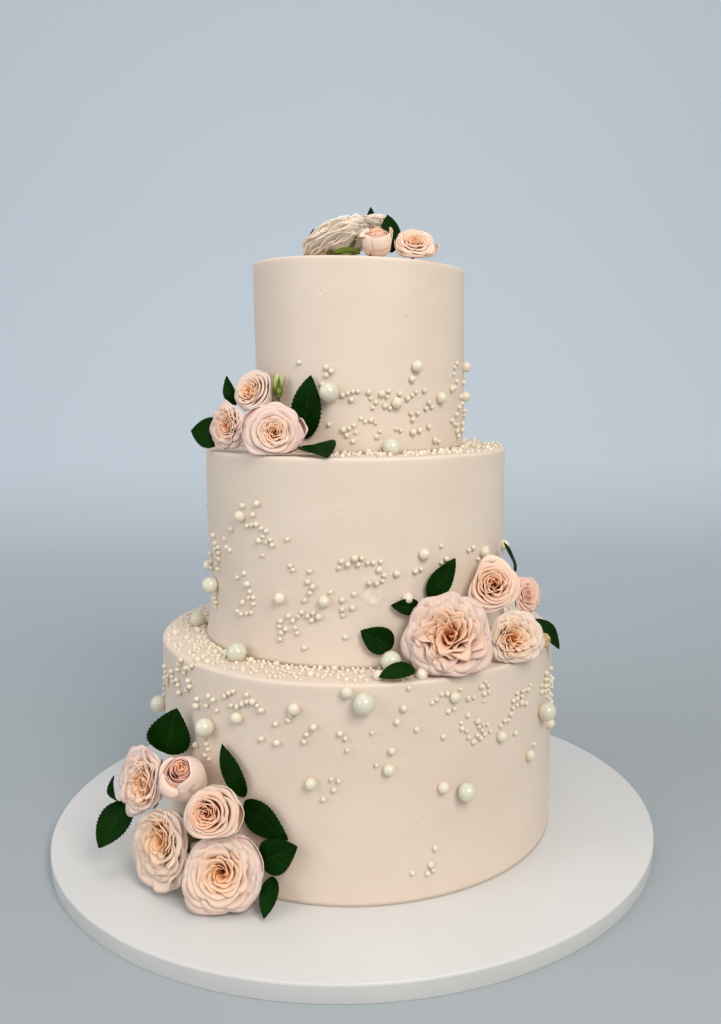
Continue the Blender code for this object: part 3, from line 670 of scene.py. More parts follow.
# Rows of petals: how many, reach and height of the rim, half the spread in degrees, how far the upper
# part flares outwards, and how much the rim ruffles. Lengths are shares of the rose's radius.
OPEN_ROSE = [
    (5, 1.00, -0.06, 52, 0.50, 0.034),
    (6, 0.91, 0.00, 46, 0.44, 0.038),
    (6, 0.79, 0.05, 46, 0.36, 0.040),
    (5, 0.66, 0.08, 52, 0.28, 0.038),
    (5, 0.53, 0.10, 52, 0.22, 0.036),
    (5, 0.41, 0.10, 52, 0.17, 0.036),
    (4, 0.29, 0.09, 60, 0.13, 0.034),
    (3, 0.17, 0.07, 78, 0.06, 0.026),
]
LAYERED_ROSE = [
    (6, 0.80, -0.42, 44, 0.26, 0.030),
    (6, 0.88, -0.33, 44, 0.28, 0.030),
    (6, 0.94, -0.25, 44, 0.30, 0.032),
    (6, 0.98, -0.17, 44, 0.34, 0.032),
    (6, 1.00, -0.09, 44, 0.36, 0.034),
    (6, 0.97, -0.01, 44, 0.34, 0.036),
    (6, 0.91, 0.06, 44, 0.30, 0.038),
    (6, 0.81, 0.12, 44, 0.28, 0.038),
    (6, 0.68, 0.17, 44, 0.24, 0.034),
    (5, 0.53, 0.20, 52, 0.20, 0.034),
    (5, 0.38, 0.20, 52, 0.16, 0.032),
    (3, 0.20, 0.18, 80, 0.08, 0.020),
]
FRAMED_ROSE = [
    (5, 1.00, -0.04, 52, 0.46, 0.024),
    (5, 0.88, 0.03, 52, 0.40, 0.020),
    (4, 0.72, 0.09, 62, 0.34, 0.014),
    (4, 0.52, 0.12, 62, 0.20, 0.016),
    (4, 0.42, 0.11, 62, 0.17, 0.030),
    (4, 0.32, 0.10, 62, 0.14, 0.036),
    (3, 0.22, 0.10, 78, 0.10, 0.036),
    (3, 0.12, 0.08, 80, 0.04, 0.022),
]
CUPPED_ROSE = [
    (3, 1.00, 0.00, 80, 0.52, 0.012),
    (3, 0.87, 0.06, 80, 0.46, 0.012),
    (3, 0.73, 0.11, 80, 0.36, 0.014),
    (4, 0.59, 0.13, 64, 0.24, 0.018),
    (4, 0.48, 0.14, 64, 0.18, 0.022),
    (4, 0.37, 0.13, 64, 0.15, 0.026),
    (4, 0.26, 0.12, 64, 0.12, 0.026),
    (3, 0.14, 0.10, 80, 0.05, 0.018),
]
BUD = [
    (2, 0.66, 0.44, 105, -0.10, 0.012),
    (3, 0.50, 0.56, 80, -0.02, 0.014),
    (3, 0.39, 0.60, 80, 0.02, 0.016),
    (3, 0.29, 0.61, 80, 0.04, 0.018),
    (3, 0.19, 0.60, 80, 0.04, 0.018),
    (2, 0.10, 0.58, 115, 0.02, 0.012),
]
SHUT_BUD = [
    (5, 0.30, 1.80, 54, -0.42, 0.01),
    (3, 0.14, 2.10, 74, -0.26, 0.01),
]
ROWS = {"open": OPEN_ROSE, "layered": LAYERED_ROSE, "framed": FRAMED_ROSE, "cupped": CUPPED_ROSE,
        "bud": BUD, "closed": SHUT_BUD}
# How far the hip, under the petals, lies behind the widest ring, and how full the belly is there
HIP = {"open": 0.62, "layered": 0.62, "framed": 0.62, "cupped": 0.96, "bud": 1.08, "closed": 1.10}
BELLY = {"open": 0.62, "layered": 0.58, "framed": 0.62, "cupped": 1.00, "bud": 1.95, "closed": 3.0}


class Bloom:
    """A flower head: the centre of its widest ring, the way it faces, its diameter, and its looks.

    Warmth runs from cool pink at 0 to golden at 1, and at 0 the pale petals are also greyer and darker,
    a painted shade; the heart is the shift of the innermost row, and rough says how much more than usual
    the petals ruffle.
    """

    def __init__(self, name, kind, place, azimuth, elevation, diameter, warmth_and_shade,
                 heart=(0.0, 0.0), rough=1.0):
        self.name = name
        self.kind = kind
        self.place = Vector(place) * MM
        self.azimuth = math.radians(azimuth)
        self.elevation = math.radians(elevation)
        self.radius = 0.5 * diameter * MM
        self.warmth_and_shade = warmth_and_shade
        self.heart = heart
        self.rough = rough
        self.walls = []

    def frame(self):
        """Local +Z becomes the way the flower faces, and local +X stays level."""
        tilt = Matrix.Rotation(math.pi / 2 - self.elevation, 4, "X")
        return Matrix.Rotation(self.azimuth, 4, "Z") @ tilt

    def placing(self):
        """Carries the flower from its own frame to its place on the cake."""
        return Matrix.Translation(self.place) @ self.frame()

    def press(self, point):
        """Petals give way smoothly where the flower meets its neighbours and the cake."""
        length = point.length
        if length < 0.001 * MM:
            return point
        way = point / length
        crowding = 0.0
        for normal, distance in self.local_walls:
            towards = way.dot(normal)
            if towards > 0.0:
                crowding += (length * towards / distance) ** 8
        return point * (1.0 + crowding) ** -0.125


BLOOMS = [
    # by the board, leaning on the bottom tier
    Bloom("rose_low_front", "open", (-84, -153, 37.5), -2, 20, 54, 0.35, (0.03, 0.04), 0.9),
    Bloom("rose_low_left", "open", (-128, -127, 43), -42, 10, 60, 0.60, (0.10, 0.16), 1.3),
    Bloom("rose_low_heart", "cupped", (-88, -149, 75), -8, 20, 37, 0.55, (-0.22, 0.02)),
    Bloom("rose_low_bud", "bud", (-110, -123, 89), -10, 42, 33, 0.15, (0.0, 0.20)),
    Bloom("rose_low_back", "open", (-142, -108, 77.5), -44, 14, 51, 0.25, (0.12, 0.05), 1.4),
    # on the ledge of the bottom tier
    # Set coolest, which also greys and darkens its pale petals: painted shade, as it faces the key light
    # most.
    Bloom("rose_ledge_large", "open", (58, -131, 181.5), -5, 26, 60, 0.0, (0.04, 0.02), 2.2),
    Bloom("rose_ledge_upper", "cupped", (90, -94, 205.5), -2, 20, 39, 0.50, (0.12, 0.02), 1.3),
    Bloom("rose_ledge_small", "framed", (122, -58, 190.5), 38, 16, 27, 0.30, (-0.05, 0.0), 1.6),
    Bloom("rose_ledge_right", "open", (106.5, -106, 171), 14, 14, 42, 0.60, (-0.14, 0.08), 1.7),
    Bloom("floret_ledge", "bud", (129, -80, 164), 30, 50, 11, 1.0, (0.0, 0.0), 3.0),
    # on the ledge of the middle tier
    Bloom("rose_middle_upper", "cupped", (-67.5, -60, 332), -33, 26, 33, 0.40, (-0.20, 0.0), 1.2),
    Bloom("rose_middle_left", "open", (-86.5, -60, 308.5), -44, 8, 37, 0.10, (0.05, 0.0), 1.4),
    Bloom("rose_middle_front", "framed", (-52, -95, 306.5), 0, 10, 39, 0.15, (0.08, 0.0)),
    # on top
    Bloom("rose_top_large", "layered", (-13, -42, 436), -115, 61, 51, 0.70, (0.0, 0.0), 1.3),
    Bloom("rose_top_bud", "bud", (16, -62, 430.5), -4, 56, 22, 0.35, (0.0, 0.06)),
    Bloom("rose_top_right", "framed", (41.5, -59, 430), 6, 42, 28, 0.45, (0.0, 0.10), 1.3),
    Bloom("rose_top_back", "layered", (15.5, -28, 447), 170, 76, 27, 0.60, (0.0, 0.0), 1.2),
]
GREEN_BUD = Bloom("green_bud_middle", "closed", (-50, -66, 334), 0, 86, 9, 0.0)


def nearest_on_drum(point, centre, radius, foot, top):
    """The nearest point of a solid drum to a point outside it."""
    flat = Vector((point.x - centre.x, point.y - centre.y, 0.0))
    if flat.length > radius:
        flat = flat.normalized() * radius
    return Vector((centre.x + flat.x, centre.y + flat.y, min(max(point.z, foot), top)))


def settle(blooms):
    """Gives each flower the planes that part it from the cake and from its neighbours."""
    drums = [BOARD_DRUM]
    for tier in (BOTTOM, MIDDLE, TOP):
        drums.append((tier.centre, tier.foot_radius + 2.0 * CREAM_UNEVEN, tier.foot, tier.top))
    for bloom in blooms:
        for centre, radius, foot, top in drums:
            away = nearest_on_drum(bloom.place, centre, radius, foot, top) - bloom.place
            room = LEAF_ROOM if abs(away.z) < 0.5 * away.length else 2.0 * CLEAR
            bloom.walls.append((away.normalized(), away.length - room))
    for i, one in enumerate(blooms):
        for other in blooms[i + 1:]:
            gap = other.place - one.place
            way = gap.normalized()
            share = 0.5 + 0.5 * (one.radius ** 2 - other.radius ** 2) / gap.length_squared
            share = min(max(share, 0.2), 0.8)
            one.walls.append((way, share * gap.length - CLEAR))
            other.walls.append((-way, (1.0 - share) * gap.length - CLEAR))
    for bloom in blooms:
        turn_back = bloom.frame().to_3x3().inverted()
        bloom.local_walls = [(turn_back @ normal, distance) for normal, distance in bloom.walls]


settle(BLOOMS + [GREEN_BUD])


def bezier(points, share):
    """A point on a cubic curve in the plane of reach and height."""
    rest = 1.0 - share
    weights = (rest ** 3, 3.0 * rest ** 2 * share, 3.0 * rest * share ** 2, share ** 3)
    return tuple(sum(weight * point[axis] for weight, point in zip(weights, points)) for axis in (0, 1))


class Petal:
    """One petal: the curve from its foot over its belly to its rim, and how it is spread and ruffled."""

    def __init__(self, curve, turn, spread, ruffle, roll, skew, draw):
        self.curve = curve
        self.turn = turn
        self.spread = spread
        self.ruffle = ruffle
        self.roll = roll
        self.skew = skew
        self.phase = draw.uniform(0.0, 6.28)
        self.waves = draw.uniform(1.0, 2.3)
        self.drop = draw.uniform(0.10, 0.20)
        self.dip = draw.uniform(-0.03, 0.05)
        self.cup = draw.uniform(0.04, 0.10)
        self.chance = draw.random()

    def at(self, across, along):
        """Reach, angle and height of a place on the petal, in shares of the rose's radius."""
        share = along * (1.0 - self.drop * abs(across) ** 2.6)
        share -= self.dip * along ** 3 * math.exp(-(across / 0.3) ** 2)
        reach, height = bezier(self.curve, share)
        lip = max(0.0, (share - 0.70) / 0.30) ** 2
        reach += 0.35 * self.roll * lip
        height -= self.roll * lip
        rim = along ** 4
        wave = math.sin(self.waves * math.pi * across + self.phase)
        reach += self.ruffle * rim * wave + self.skew * across
        reach *= 1.0 - self.cup * across ** 2
        height += 0.8 * self.ruffle * rim * math.cos(self.waves * 1.3 * math.pi * across + self.phase)
        angle = self.turn + self.spread * across * (0.55 + 0.45 * min(1.0, share / 0.6))
        return reach, angle, height


def place_as_uv(faces, layer):
    """Keeps each corner's place on a flat grid of two units as its UV."""
    for face in faces:
        for loop in face.loops:
            loop[layer].uv = (0.5 + 0.5 * loop.vert.co.x, 0.5 + 0.5 * loop.vert.co.y)


def lay_petal(shape, bloom, petal, depth, shift, across_steps, along_steps):
    """Adds one petal to the rose, with its place on the petal as UV and its place in the rose as colour."""
    place_layer = shape.verts.layers.float_color["petal_place"]
    sheet = bmesh.ops.create_grid(shape, x_segments=across_steps, y_segments=along_steps, size=1.0)["verts"]
    faces = {face for vertex in sheet for face in vertex.link_faces}
    place_as_uv(faces, shape.loops.layers.uv["petal"])
    crumple = Vector((petal.phase, 10.0 * depth, bloom.radius * 1000.0))
    for vertex in sheet:
        across = vertex.co.x
        along = 0.5 + 0.5 * vertex.co.y
        reach, angle, height = petal.at(across, along)
        reach = max(reach, 0.01)
        point = Vector((reach * math.cos(angle), reach * math.sin(angle), height))
        fold = noise.noise_vector(point * 2.3 + crumple)
        point += fold * petal.ruffle * 1.2 * along ** 2
        point.x += shift[0]
        point.y += shift[1]
        vertex.co = bloom.press(point * bloom.radius)
        vertex[place_layer] = (depth, along, petal.chance, bloom.warmth_and_shade)


def petal_curve(bloom, row, depth, draw):
    """Foot, belly, neck and rim of a petal."""
    _, rim_reach, rim_height, _, flare, _ = row
    reach = rim_reach * draw.uniform(0.96, 1.02)
    height = rim_height + draw.uniform(-0.03, 0.03)
    hip = -HIP[bloom.kind]
    return [
        (0.07, hip + 0.30 * depth),
        (BELLY[bloom.kind] * reach + 0.05, hip + 0.10 + 0.24 * depth),
        (reach - flare, height - 0.15 + 0.28 * flare),
        (reach, height),
    ]


def rose(bloom, seed, extra=()):
    """All the petals of a rose, from the outer row in, then any odd petals that stand out of it."""
    draw = random.Random(seed)
    rows = ROWS[bloom.kind]
    shape = bmesh.new()
    shape.verts.layers.float_color.new("petal_place")
    shape.loops.layers.uv.new("petal")
    start = draw.uniform(0.0, 6.28)
    for number, row in enumerate(rows):
        count, rim_reach, _, spread, _, ruffle = row
        depth = number / (len(rows) - 1)
        tone = 0.35 * depth if bloom.kind == "layered" else depth
        rough = 1.0 + (bloom.rough - 1.0) * min(1.0, 0.35 + 1.3 * depth)
        start += math.pi / count + draw.uniform(-0.2, 0.2)
        moved = min(1.0, 1.8 * depth)
        shift = (bloom.heart[0] * moved, bloom.heart[1] * moved)
        fine = WIDE_PETAL if rim_reach > 0.45 else INNER_PETAL
        for place in range(count):
            turn = start + 2.0 * math.pi * place / count + draw.uniform(-0.12, 0.12)
            half = math.radians(spread) * draw.uniform(0.95, 1.15)
            roll = draw.uniform(0.05, 0.13) * (1.0 - 0.8 * depth)
            curve = petal_curve(bloom, row, depth, draw)
            own_ruffle = rough * ruffle * draw.uniform(0.6, 1.4)
            petal = Petal(curve, turn, half, own_ruffle, roll, draw.uniform(0.03, 0.06), draw)
            lay_petal(shape, bloom, petal, tone, shift, *fine)
    for turn, half, roll, belly, neck, rim in extra:
        curve = [(0.25, -0.6), belly, neck, rim]
        petal = Petal(curve, math.radians(turn), math.radians(half), 0.02, roll, 0.0, draw)
        lay_petal(shape, bloom, petal, 0.0, (0.0, 0.0), *WIDE_PETAL)
    bmesh.ops.transform(shape, matrix=bloom.placing(), verts=shape.verts[:])
    bmesh.ops.recalc_face_normals(shape, faces=shape.faces[:])
    return shape


# Stops that multiply a petal's colour: along its veins, and from one petal to the next
VEIN_STREAKS = [(0.30, (0.975, 0.95, 0.94)), (0.65, (1.0, 1.0, 1.0))]
ODD_TONES = [(0.0, (0.98, 0.93, 0.91)), (1.0, (1.0, 1.0, 1.0))]


def feed(links, socket, value):
    """Sets a socket to a constant, or links the output of another node to it."""
    if isinstance(value, bpy.types.NodeSocket):
        links.new(value, socket)
    else:
        socket.default_value = value


def blended(nodes, links, first, second, kind="MULTIPLY", share=1.0):
    """Two colours blended in one of the ways of the mix node, up to a share."""
    mix = nodes.new("ShaderNodeMix")
    mix.data_type = "RGBA"
    mix.blend_type = kind
    for socket, value in ((mix.inputs["Factor"], share), (mix.inputs[6], first), (mix.inputs[7], second)):
        feed(links, socket, value)
    return mix.outputs[2]


def petal_finish(name, rims, feet_and_shade, warmth_tints_and_shade):
    """Velvety petals: pale at the rim, warmer and darker down in the flower, with faint lengthwise veins.
    The darker lower parts are partly the rose's own warmer heart and partly painted shade between the
    petals.

    Rim colours and foot colours run from the outer petals to the heart, and the tint from cool to warm
    flowers; in the pale finish the coolest tint is also greyer and darker, a painted shade.
    """
    material, nodes, links, shader = new_material(name, 0.62)
    lets_light_in(shader, 0.45, (1.0, 0.92, 0.88), 0.8 * MM)
    shader.inputs["Specular IOR Level"].default_value = 0.15
    place = nodes.new("ShaderNodeAttribute")
    place.attribute_name = "petal_place"
    parts = nodes.new("ShaderNodeSeparateColor")
    links.new(place.outputs["Color"], parts.inputs["Color"])
    depth, along, chance = parts.outputs
    warmth_and_shade = place.outputs["Alpha"]
    rim = ramp(nodes, links, depth, rims)
    # The foot colour is warmer and darker: partly the rose's own heart, partly painted shade deep between
    # the petals.
    foot = ramp(nodes, links, depth, feet_and_shade)
    rise = nodes.new("ShaderNodeMapRange")
    rise.interpolation_type = "SMOOTHSTEP"
    rise.inputs["From Min"].default_value = 0.30
    rise.inputs["From Max"].default_value = 0.95
    links.new(along, rise.inputs["Value"])
    colour = blended(nodes, links, foot, rim, "MIX", rise.outputs["Result"])
    uv = nodes.new("ShaderNodeUVMap")
    uv.uv_map = "petal"
    veins = grain(nodes, links, uv.outputs["UV"], 1.0, 3.0, (38.0, 2.2, 1.0))
    for source, stops in ((warmth_and_shade, warmth_tints_and_shade), (veins, VEIN_STREAKS), (chance, ODD_TONES)):
        colour = blended(nodes, links, colour, ramp(nodes, links, source, stops))
    links.new(colour, shader.inputs["Base Color"])
    relief(nodes, links, shader, veins, 0.06 * MM)
    return material


PALE_PETAL = petal_finish(
    "pale_rose_petal",
    [(0.0, (0.82, 0.67, 0.60)), (0.40, (0.88, 0.68, 0.56)), (0.75, (0.94, 0.65, 0.47)),
     (1.0, (0.96, 0.59, 0.36))],
    [(0.0, (0.85, 0.59, 0.48)), (0.40, (0.91, 0.55, 0.37)), (1.0, (0.95, 0.47, 0.19))],
    # The coolest stop is greyer and darker than the rest: painted shade on the rose that faces the key
    # light most.
    [(0.0, (0.91, 0.86, 0.84)), (0.1, (1.0, 0.94, 0.94)), (0.5, (1.0, 0.98, 0.94)),
     (1.0, (1.0, 0.99, 0.84))])
BLUSH_PETAL = petal_finish(
    "blush_rose_petal",
    [(0.0, (0.92, 0.71, 0.60)), (0.35, (0.91, 0.62, 0.49)), (1.0, (0.95, 0.56, 0.36))],
    [(0.0, (0.95, 0.73, 0.59)), (0.35, (0.93, 0.52, 0.36)), (1.0, (0.93, 0.42, 0.19))],
    [(0.0, (1.0, 0.93, 0.95)), (0.5, (1.0, 0.98, 0.94)), (1.0, (1.0, 0.99, 0.84))])
CREAMY_PETAL = petal_finish(
    "creamy_rose_petal",
    [(0.0, (0.99, 0.905, 0.805)), (1.0, (0.99, 0.87, 0.745))],
    [(0.0, (0.98, 0.885, 0.775)), (1.0, (0.98, 0.825, 0.685))],
    [(0.0, (1.0, 0.96, 0.95)), (1.0, (1.0, 1.0, 0.96))])
DEEP_PETAL = petal_finish(
    "deep_rose_petal",
    [(0.0, (0.90, 0.60, 0.49)), (1.0, (0.90, 0.52, 0.38))],
    [(0.0, (0.86, 0.42, 0.29)), (1.0, (0.76, 0.32, 0.15))],
    [(0.0, (1.0, 0.97, 1.0)), (0.5, (1.0, 1.0, 0.97)), (1.0, (0.80, 0.92, 0.66))])
GREEN_PETAL = petal_finish(
    "shut_bud_petal",
    [(0.0, (0.55, 0.62, 0.22)), (1.0, (0.62, 0.62, 0.25))],
    [(0.0, (0.30, 0.40, 0.08)), (1.0, (0.30, 0.40, 0.08))],
    [(0.0, (1.0, 1.0, 1.0)), (1.0, (1.0, 1.0, 1.0))])


def give_thickness(sheet, thickness):
    """Makes a sheet as thick as this, half of it to each side."""
    thicker = sheet.modifiers.new("thickness", "SOLIDIFY")
    thicker.thickness = thickness
    thicker.offset = 0.0
    return thicker


# Odd petals: the way round in degrees, half the spread, how far the lip rolls back, and the reach and
# height of belly, neck and rim
ODD_PETALS = {
    "rose_low_heart": [(0, 34, 0.10, (1.12, -0.5), (1.06, -0.19), (1.02, 0.06)),
                       (60, 40, 0.06, (1.08, -0.5), (1.02, -0.15), (0.98, 0.10))],
    "rose_low_front": [(35, 30, 0.12, (1.1, -0.5), (1.04, -0.20), (1.0, 0.05))],
    "rose_low_bud": [(0, 84, 0.0, (1.28, -0.5), (0.80, 0.41), (0.48, 0.66)),
                     (-128, 46, 0.10, (0.55, 0.1), (0.50, 0.80), (1.00, 0.20)),
                     (165, 40, 0.14, (0.8, -0.3), (0.72, 0.50), (0.98, 0.30))],
    "rose_middle_front": [(8, 20, 0.20, (1.2, -0.5), (1.14, -0.13), (1.10, 0.12)),
                          (-35, 34, 0.12, (1.1, -0.5), (1.04, -0.23), (1.0, 0.02)),
                          (150, 36, 0.10, (1.1, -0.5), (1.04, -0.15), (1.0, 0.10))],
    "rose_middle_upper": [(-20, 44, 0.06, (1.1, -0.5), (1.04, -0.17), (1.0, 0.08)),
                          (-70, 40, 0.08, (1.08, -0.5), (1.02, -0.23), (0.98, 0.02))],
    "rose_ledge_upper": [(-160, 50, 0.05, (1.1, -0.5), (1.04, -0.10), (0.94, 0.12)),
                         (-130, 44, 0.05, (1.1, -0.5), (1.00, -0.12), (0.86, 0.15))],
    "rose_top_bud": [(-128, 60, 0.04, (1.24, -0.5), (0.88, 0.27), (0.64, 0.50)),
                     (-48, 58, 0.08, (1.28, -0.5), (0.94, 0.32), (0.74, 0.60)),
                     (15, 24, 0.16, (1.15, -0.5), (1.06, 0.49), (1.0, 0.74)),
                     (170, 44, 0.20, (0.8, -0.3), (0.70, 0.75), (1.05, 0.42))],
    "rose_top_right": [(-90, 54, 0.08, (1.16, -0.5), (1.20, -0.24), (1.15, -0.04)),
                       (-152, 38, 0.10, (1.18, -0.5), (1.16, -0.19), (1.12, 0.06)),
                       (-30, 36, 0.12, (1.20, -0.5), (1.18, -0.19), (1.14, 0.06))],
}
BLUSH_ROSES = ("rose_low_bud", "rose_low_heart", "rose_ledge_upper", "rose_top_bud", "rose_top_right")
for number, bloom in enumerate(BLOOMS + [GREEN_BUD]):
    finish, slot = PALE_PETAL, "petal"
    if bloom.name in BLUSH_ROSES:
        finish = BLUSH_PETAL
    elif bloom.kind == "layered":
        finish = CREAMY_PETAL
    if bloom.name in ("rose_ledge_small", "floret_ledge"):
        finish, slot = DEEP_PETAL, "deep_petal"
    elif bloom is GREEN_BUD:
        finish, slot = GREEN_PETAL, "green_bud"
    shape = rose(bloom, ROSE_SEED + number, ODD_PETALS.get(bloom.name, ()))
    petals = finish_piece(bloom.name + "_petals", shape, [finish], slot, bloom.name)
    give_thickness(petals, PETAL_THICK)


# Hips, sepals and stems
# Behind each rose a green hip carries five narrow sepals and a short cut stem, which goes into the cream.
# The young bud on the middle tier is still shut, its sepals standing round a yellow-green tip.
GREENS_SEED = 500
HIP_STEPS = 12
SEPALS = 5
SEPAL, _ = mottled("sepal_green", 0.5, (0.075, 0.115, 0.018), (0.23, 0.27, 0.055),
                   (160.0, 3.0), (600.0, 2.0), 0.1 * MM)


def stem_and_hip(shape, bloom, hip_height, stem_length, reach):
    """A turned hip on its stem, from the hip's mouth to the cut end of the stem."""
    outline = [(0.0, 0.10), (0.18, 0.10), (0.26, 0.0), (0.22, -0.16), (0.10, -0.26),
               (0.07, -stem_length), (0.0, -stem_length)]
    turned = turned_shape([(reach * out, hip_height + up) for out, up in outline], HIP_STEPS)
    hip = into_mesh("hip", turned)
    first = len(shape.verts)
    shape.from_mesh(hip)
    bpy.data.meshes.remove(hip)
    shape.verts.ensure_lookup_table()
    for vertex in shape.verts[first:]:
        vertex.co = vertex.co * bloom.radius


def sepal(shape, bloom, turn, foot, length, flare, width):
    """A narrow pointed sepal that follows the back of the rose and bends away at its tip."""
    sheet = bmesh.ops.create_grid(shape, x_segments=4, y_segments=10, size=1.0)["verts"]
    for vertex in sheet:
        across = vertex.co.x
        along = 0.5 + 0.5 * vertex.co.y
        taper = (1.0 - along) ** 0.8 * (0.6 + 0.4 * math.sin(math.pi * min(1.0, along * 2.0)))
        side = across * width * taper
        reach = 0.16 + flare * math.sin(0.5 * math.pi * along) + 0.06 * abs(across) * taper
        height = foot + length * along
        point = Vector((reach, side, height))
        point.rotate(Matrix.Rotation(turn, 3, "Z"))
        vertex.co = bloom.press(point * bloom.radius)


# How long the hip and stem are and how stout, and the length, flare and width of the sepals, all as shares
# of the radius
OPEN_GREENS = (0.26 + 0.30, 1.0, (0.1, 0.4), (0.5, 0.8), 0.14)
SHUT_GREENS = (0.26 + 2.0, 2.6, (2.2, 3.2), (0.5, 1.0), 0.85)


def greens(bloom, seed):
    """The hip, the stem and the sepals behind one flower."""
    draw = random.Random(seed)
    shape = bmesh.new()
    hip_height = -HIP[bloom.kind]
    stem, stout, length, flare, width = SHUT_GREENS if bloom.kind == "closed" else OPEN_GREENS
    stem_and_hip(shape, bloom, hip_height, stem, stout)
    for place in range(SEPALS):
        turn = 2.0 * math.pi * place / SEPALS + draw.uniform(-0.2, 0.2)
        sepal(shape, bloom, turn, hip_height, draw.uniform(*length), draw.uniform(*flare), width)
    bmesh.ops.transform(shape, matrix=bloom.placing(), verts=shape.verts[:])
    return shape


for number, bloom in enumerate(BLOOMS + [GREEN_BUD]):
    finish_piece(bloom.name + "_sepals", greens(bloom, GREENS_SEED + number), [SEPAL], "green_bud")


# Rose leaves
# Single leaflets of garden rose, 20 to 36 mm long, cut from the stalk and tucked under and between the
# roses: thin, folded along the midrib, finely toothed, dark and a little glossy above, paler beneath.
LEAF_THICK = 0.5 * MM
LEAF_TOUCHING = 0.002 * MM
LEAF_ACROSS = 16
LEAF_ALONG = 44
TEETH = 15.0
VEINS = 7.0


def maths(nodes, links, operation, first, second=0.0):
    node = nodes.new("ShaderNodeMath")
    node.operation = operation
    for socket, value in zip(node.inputs, (first, second)):
        feed(links, socket, value)
    return node.outputs["Value"]


def leaf_green():
    """The upper face: deep green with paler veins, from the leaf's own lengthwise and crosswise places."""
    material, nodes, links, shader = new_material("leaf_upper", 0.40)
    shader.inputs["Specular IOR Level"].default_value = 0.04
    uv = nodes.new("ShaderNodeUVMap")
    uv.uv_map = "leaf"
    parts = nodes.new("ShaderNodeSeparateXYZ")
    links.new(uv.outputs["UV"], parts.inputs["Vector"])
    side = maths(nodes, links, "ABSOLUTE", maths(nodes, links, "SUBTRACT", parts.outputs["X"], 0.5))
    rib = ramp(nodes, links, side, [(0.0, (1.0, 1.0, 1.0)), (0.035, (0.0, 0.0, 0.0))])
    slant = maths(nodes, links, "MULTIPLY", side, -0.62)
    rise = maths(nodes, links, "MULTIPLY", maths(nodes, links, "ADD", parts.outputs["Y"], slant), VEINS)
    saw = maths(nodes, links, "ABSOLUTE", maths(nodes, links, "SUBTRACT",
                                                maths(nodes, links, "FRACT", rise), 0.5))
    lateral = ramp(nodes, links, saw, [(0.0, (0.55, 0.55, 0.55)), (0.10, (0.0, 0.0, 0.0))])
    place = nodes.new("ShaderNodeTexCoord").outputs["Object"]
    tone = grain(nodes, links, place, 70.0, 4.0)
    blade = ramp(nodes, links, tone, [(0.3, (0.0016, 0.0150, 0.0004)), (0.7, (0.0040, 0.0280, 0.0008))])
    weight = nodes.new("ShaderNodeRGBToBW")
    links.new(blended(nodes, links, rib, lateral, "ADD"), weight.inputs["Color"])
    paler = maths(nodes, links, "MULTIPLY", weight.outputs["Val"], 0.28)
    colour = blended(nodes, links, blade, (0.020, 0.065, 0.012, 1.0), "MIX", paler)
    links.new(colour, shader.inputs["Base Color"])
    deep = maths(nodes, links, "MULTIPLY", weight.outputs["Val"], -1.0)
    veins = relief(nodes, links, shader, deep, 0.15 * MM)
    relief(nodes, links, shader, grain(nodes, links, place, 500.0, 3.0), 0.10 * MM, veins)
    return material


LEAF_UPPER = leaf_green()
# The underside: paler, olive green and dull
LEAF_UNDER, under_shader = mottled("leaf_underside", 0.6, (0.070, 0.092, 0.006), (0.110, 0.135, 0.011),
                                   (120.0, 3.0), (700.0, 3.0), 0.08 * MM)
under_shader.inputs["Specular IOR Level"].default_value = 0.1


def half_width(share, across):
    """Half width along the leaf, as a share of its widest half, with forward-pointing teeth at the edge."""
    tooth = (TEETH * share) % 1.0
    ends = min(1.0, 6.0 * share) * min(1.0, 8.0 * (1.0 - share))
    return math.sin(math.pi * share ** 0.75) ** 0.8 * (1.0 + 0.12 * (tooth - 0.5) * abs(across) ** 6 * ends)


def leaf(name, at, facing, turned_over=False):
    """A leaf sheet: at gives the point for a share along the rib, a share across and the half width."""
    shape = bmesh.new()
    uv_layer = shape.loops.layers.uv.new("leaf")
    sheet = bmesh.ops.create_grid(shape, x_segments=LEAF_ACROSS, y_segments=LEAF_ALONG, size=1.0)["verts"]
    place_as_uv(shape.faces, uv_layer)
    for vertex in sheet:
        across = vertex.co.x
        share = 0.5 + 0.5 * vertex.co.y
        vertex.co = at(share, across, half_width(share, across))
    bmesh.ops.remove_doubles(shape, verts=shape.verts[:], dist=LEAF_TOUCHING)
    shape.normal_update()
    looks_away = sum(face.normal.dot(facing) for face in shape.faces) < 0.0
    if looks_away != turned_over:
        bmesh.ops.reverse_faces(shape, faces=shape.faces[:])
    blade = finish_piece(name + "_blade", shape, [LEAF_UPPER, LEAF_UNDER], "leaf", name)
    give_thickness(blade, LEAF_THICK).material_offset = 1


def quilting(share, across):
    """The blade swells between its side veins, in millimetres."""
    rise = VEINS * (share - 0.31 * abs(across))
    return 0.22 * math.sin(2.0 * math.pi * rise) * min(1.0, 3.0 * abs(across)) * (1.0 - 0.5 * abs(across))


def wall_leaf(name, tier, base, tip, width, arch=1.5, fold=1.0):
    """A leaf that lies along a tier's wall: base and tip are azimuth, height and distance out."""
    run = math.radians(tip[0] - base[0]) * tier.radius
    rise = (tip[1] - base[1]) * MM
    length = math.hypot(run, rise)

    def at(share, across, half):
        azimuth = base[0] + (tip[0] - base[0]) * share
        height = base[1] + (tip[1] - base[1]) * share
        side = across * 0.5 * width * MM * half
        azimuth += math.degrees(-rise / length * side / tier.radius)
        height += run / length * side / MM
        out = base[2] + (tip[2] - base[2]) * share + arch * math.sin(math.pi * share)
        out += fold * abs(across) * half + 0.4 * math.sin(9.0 * share + across) + quilting(share, across)
        return tier.on_wall(azimuth, height * MM, out * MM)
    leaf(name, at, tier.outward(0.5 * (base[0] + tip[0])))


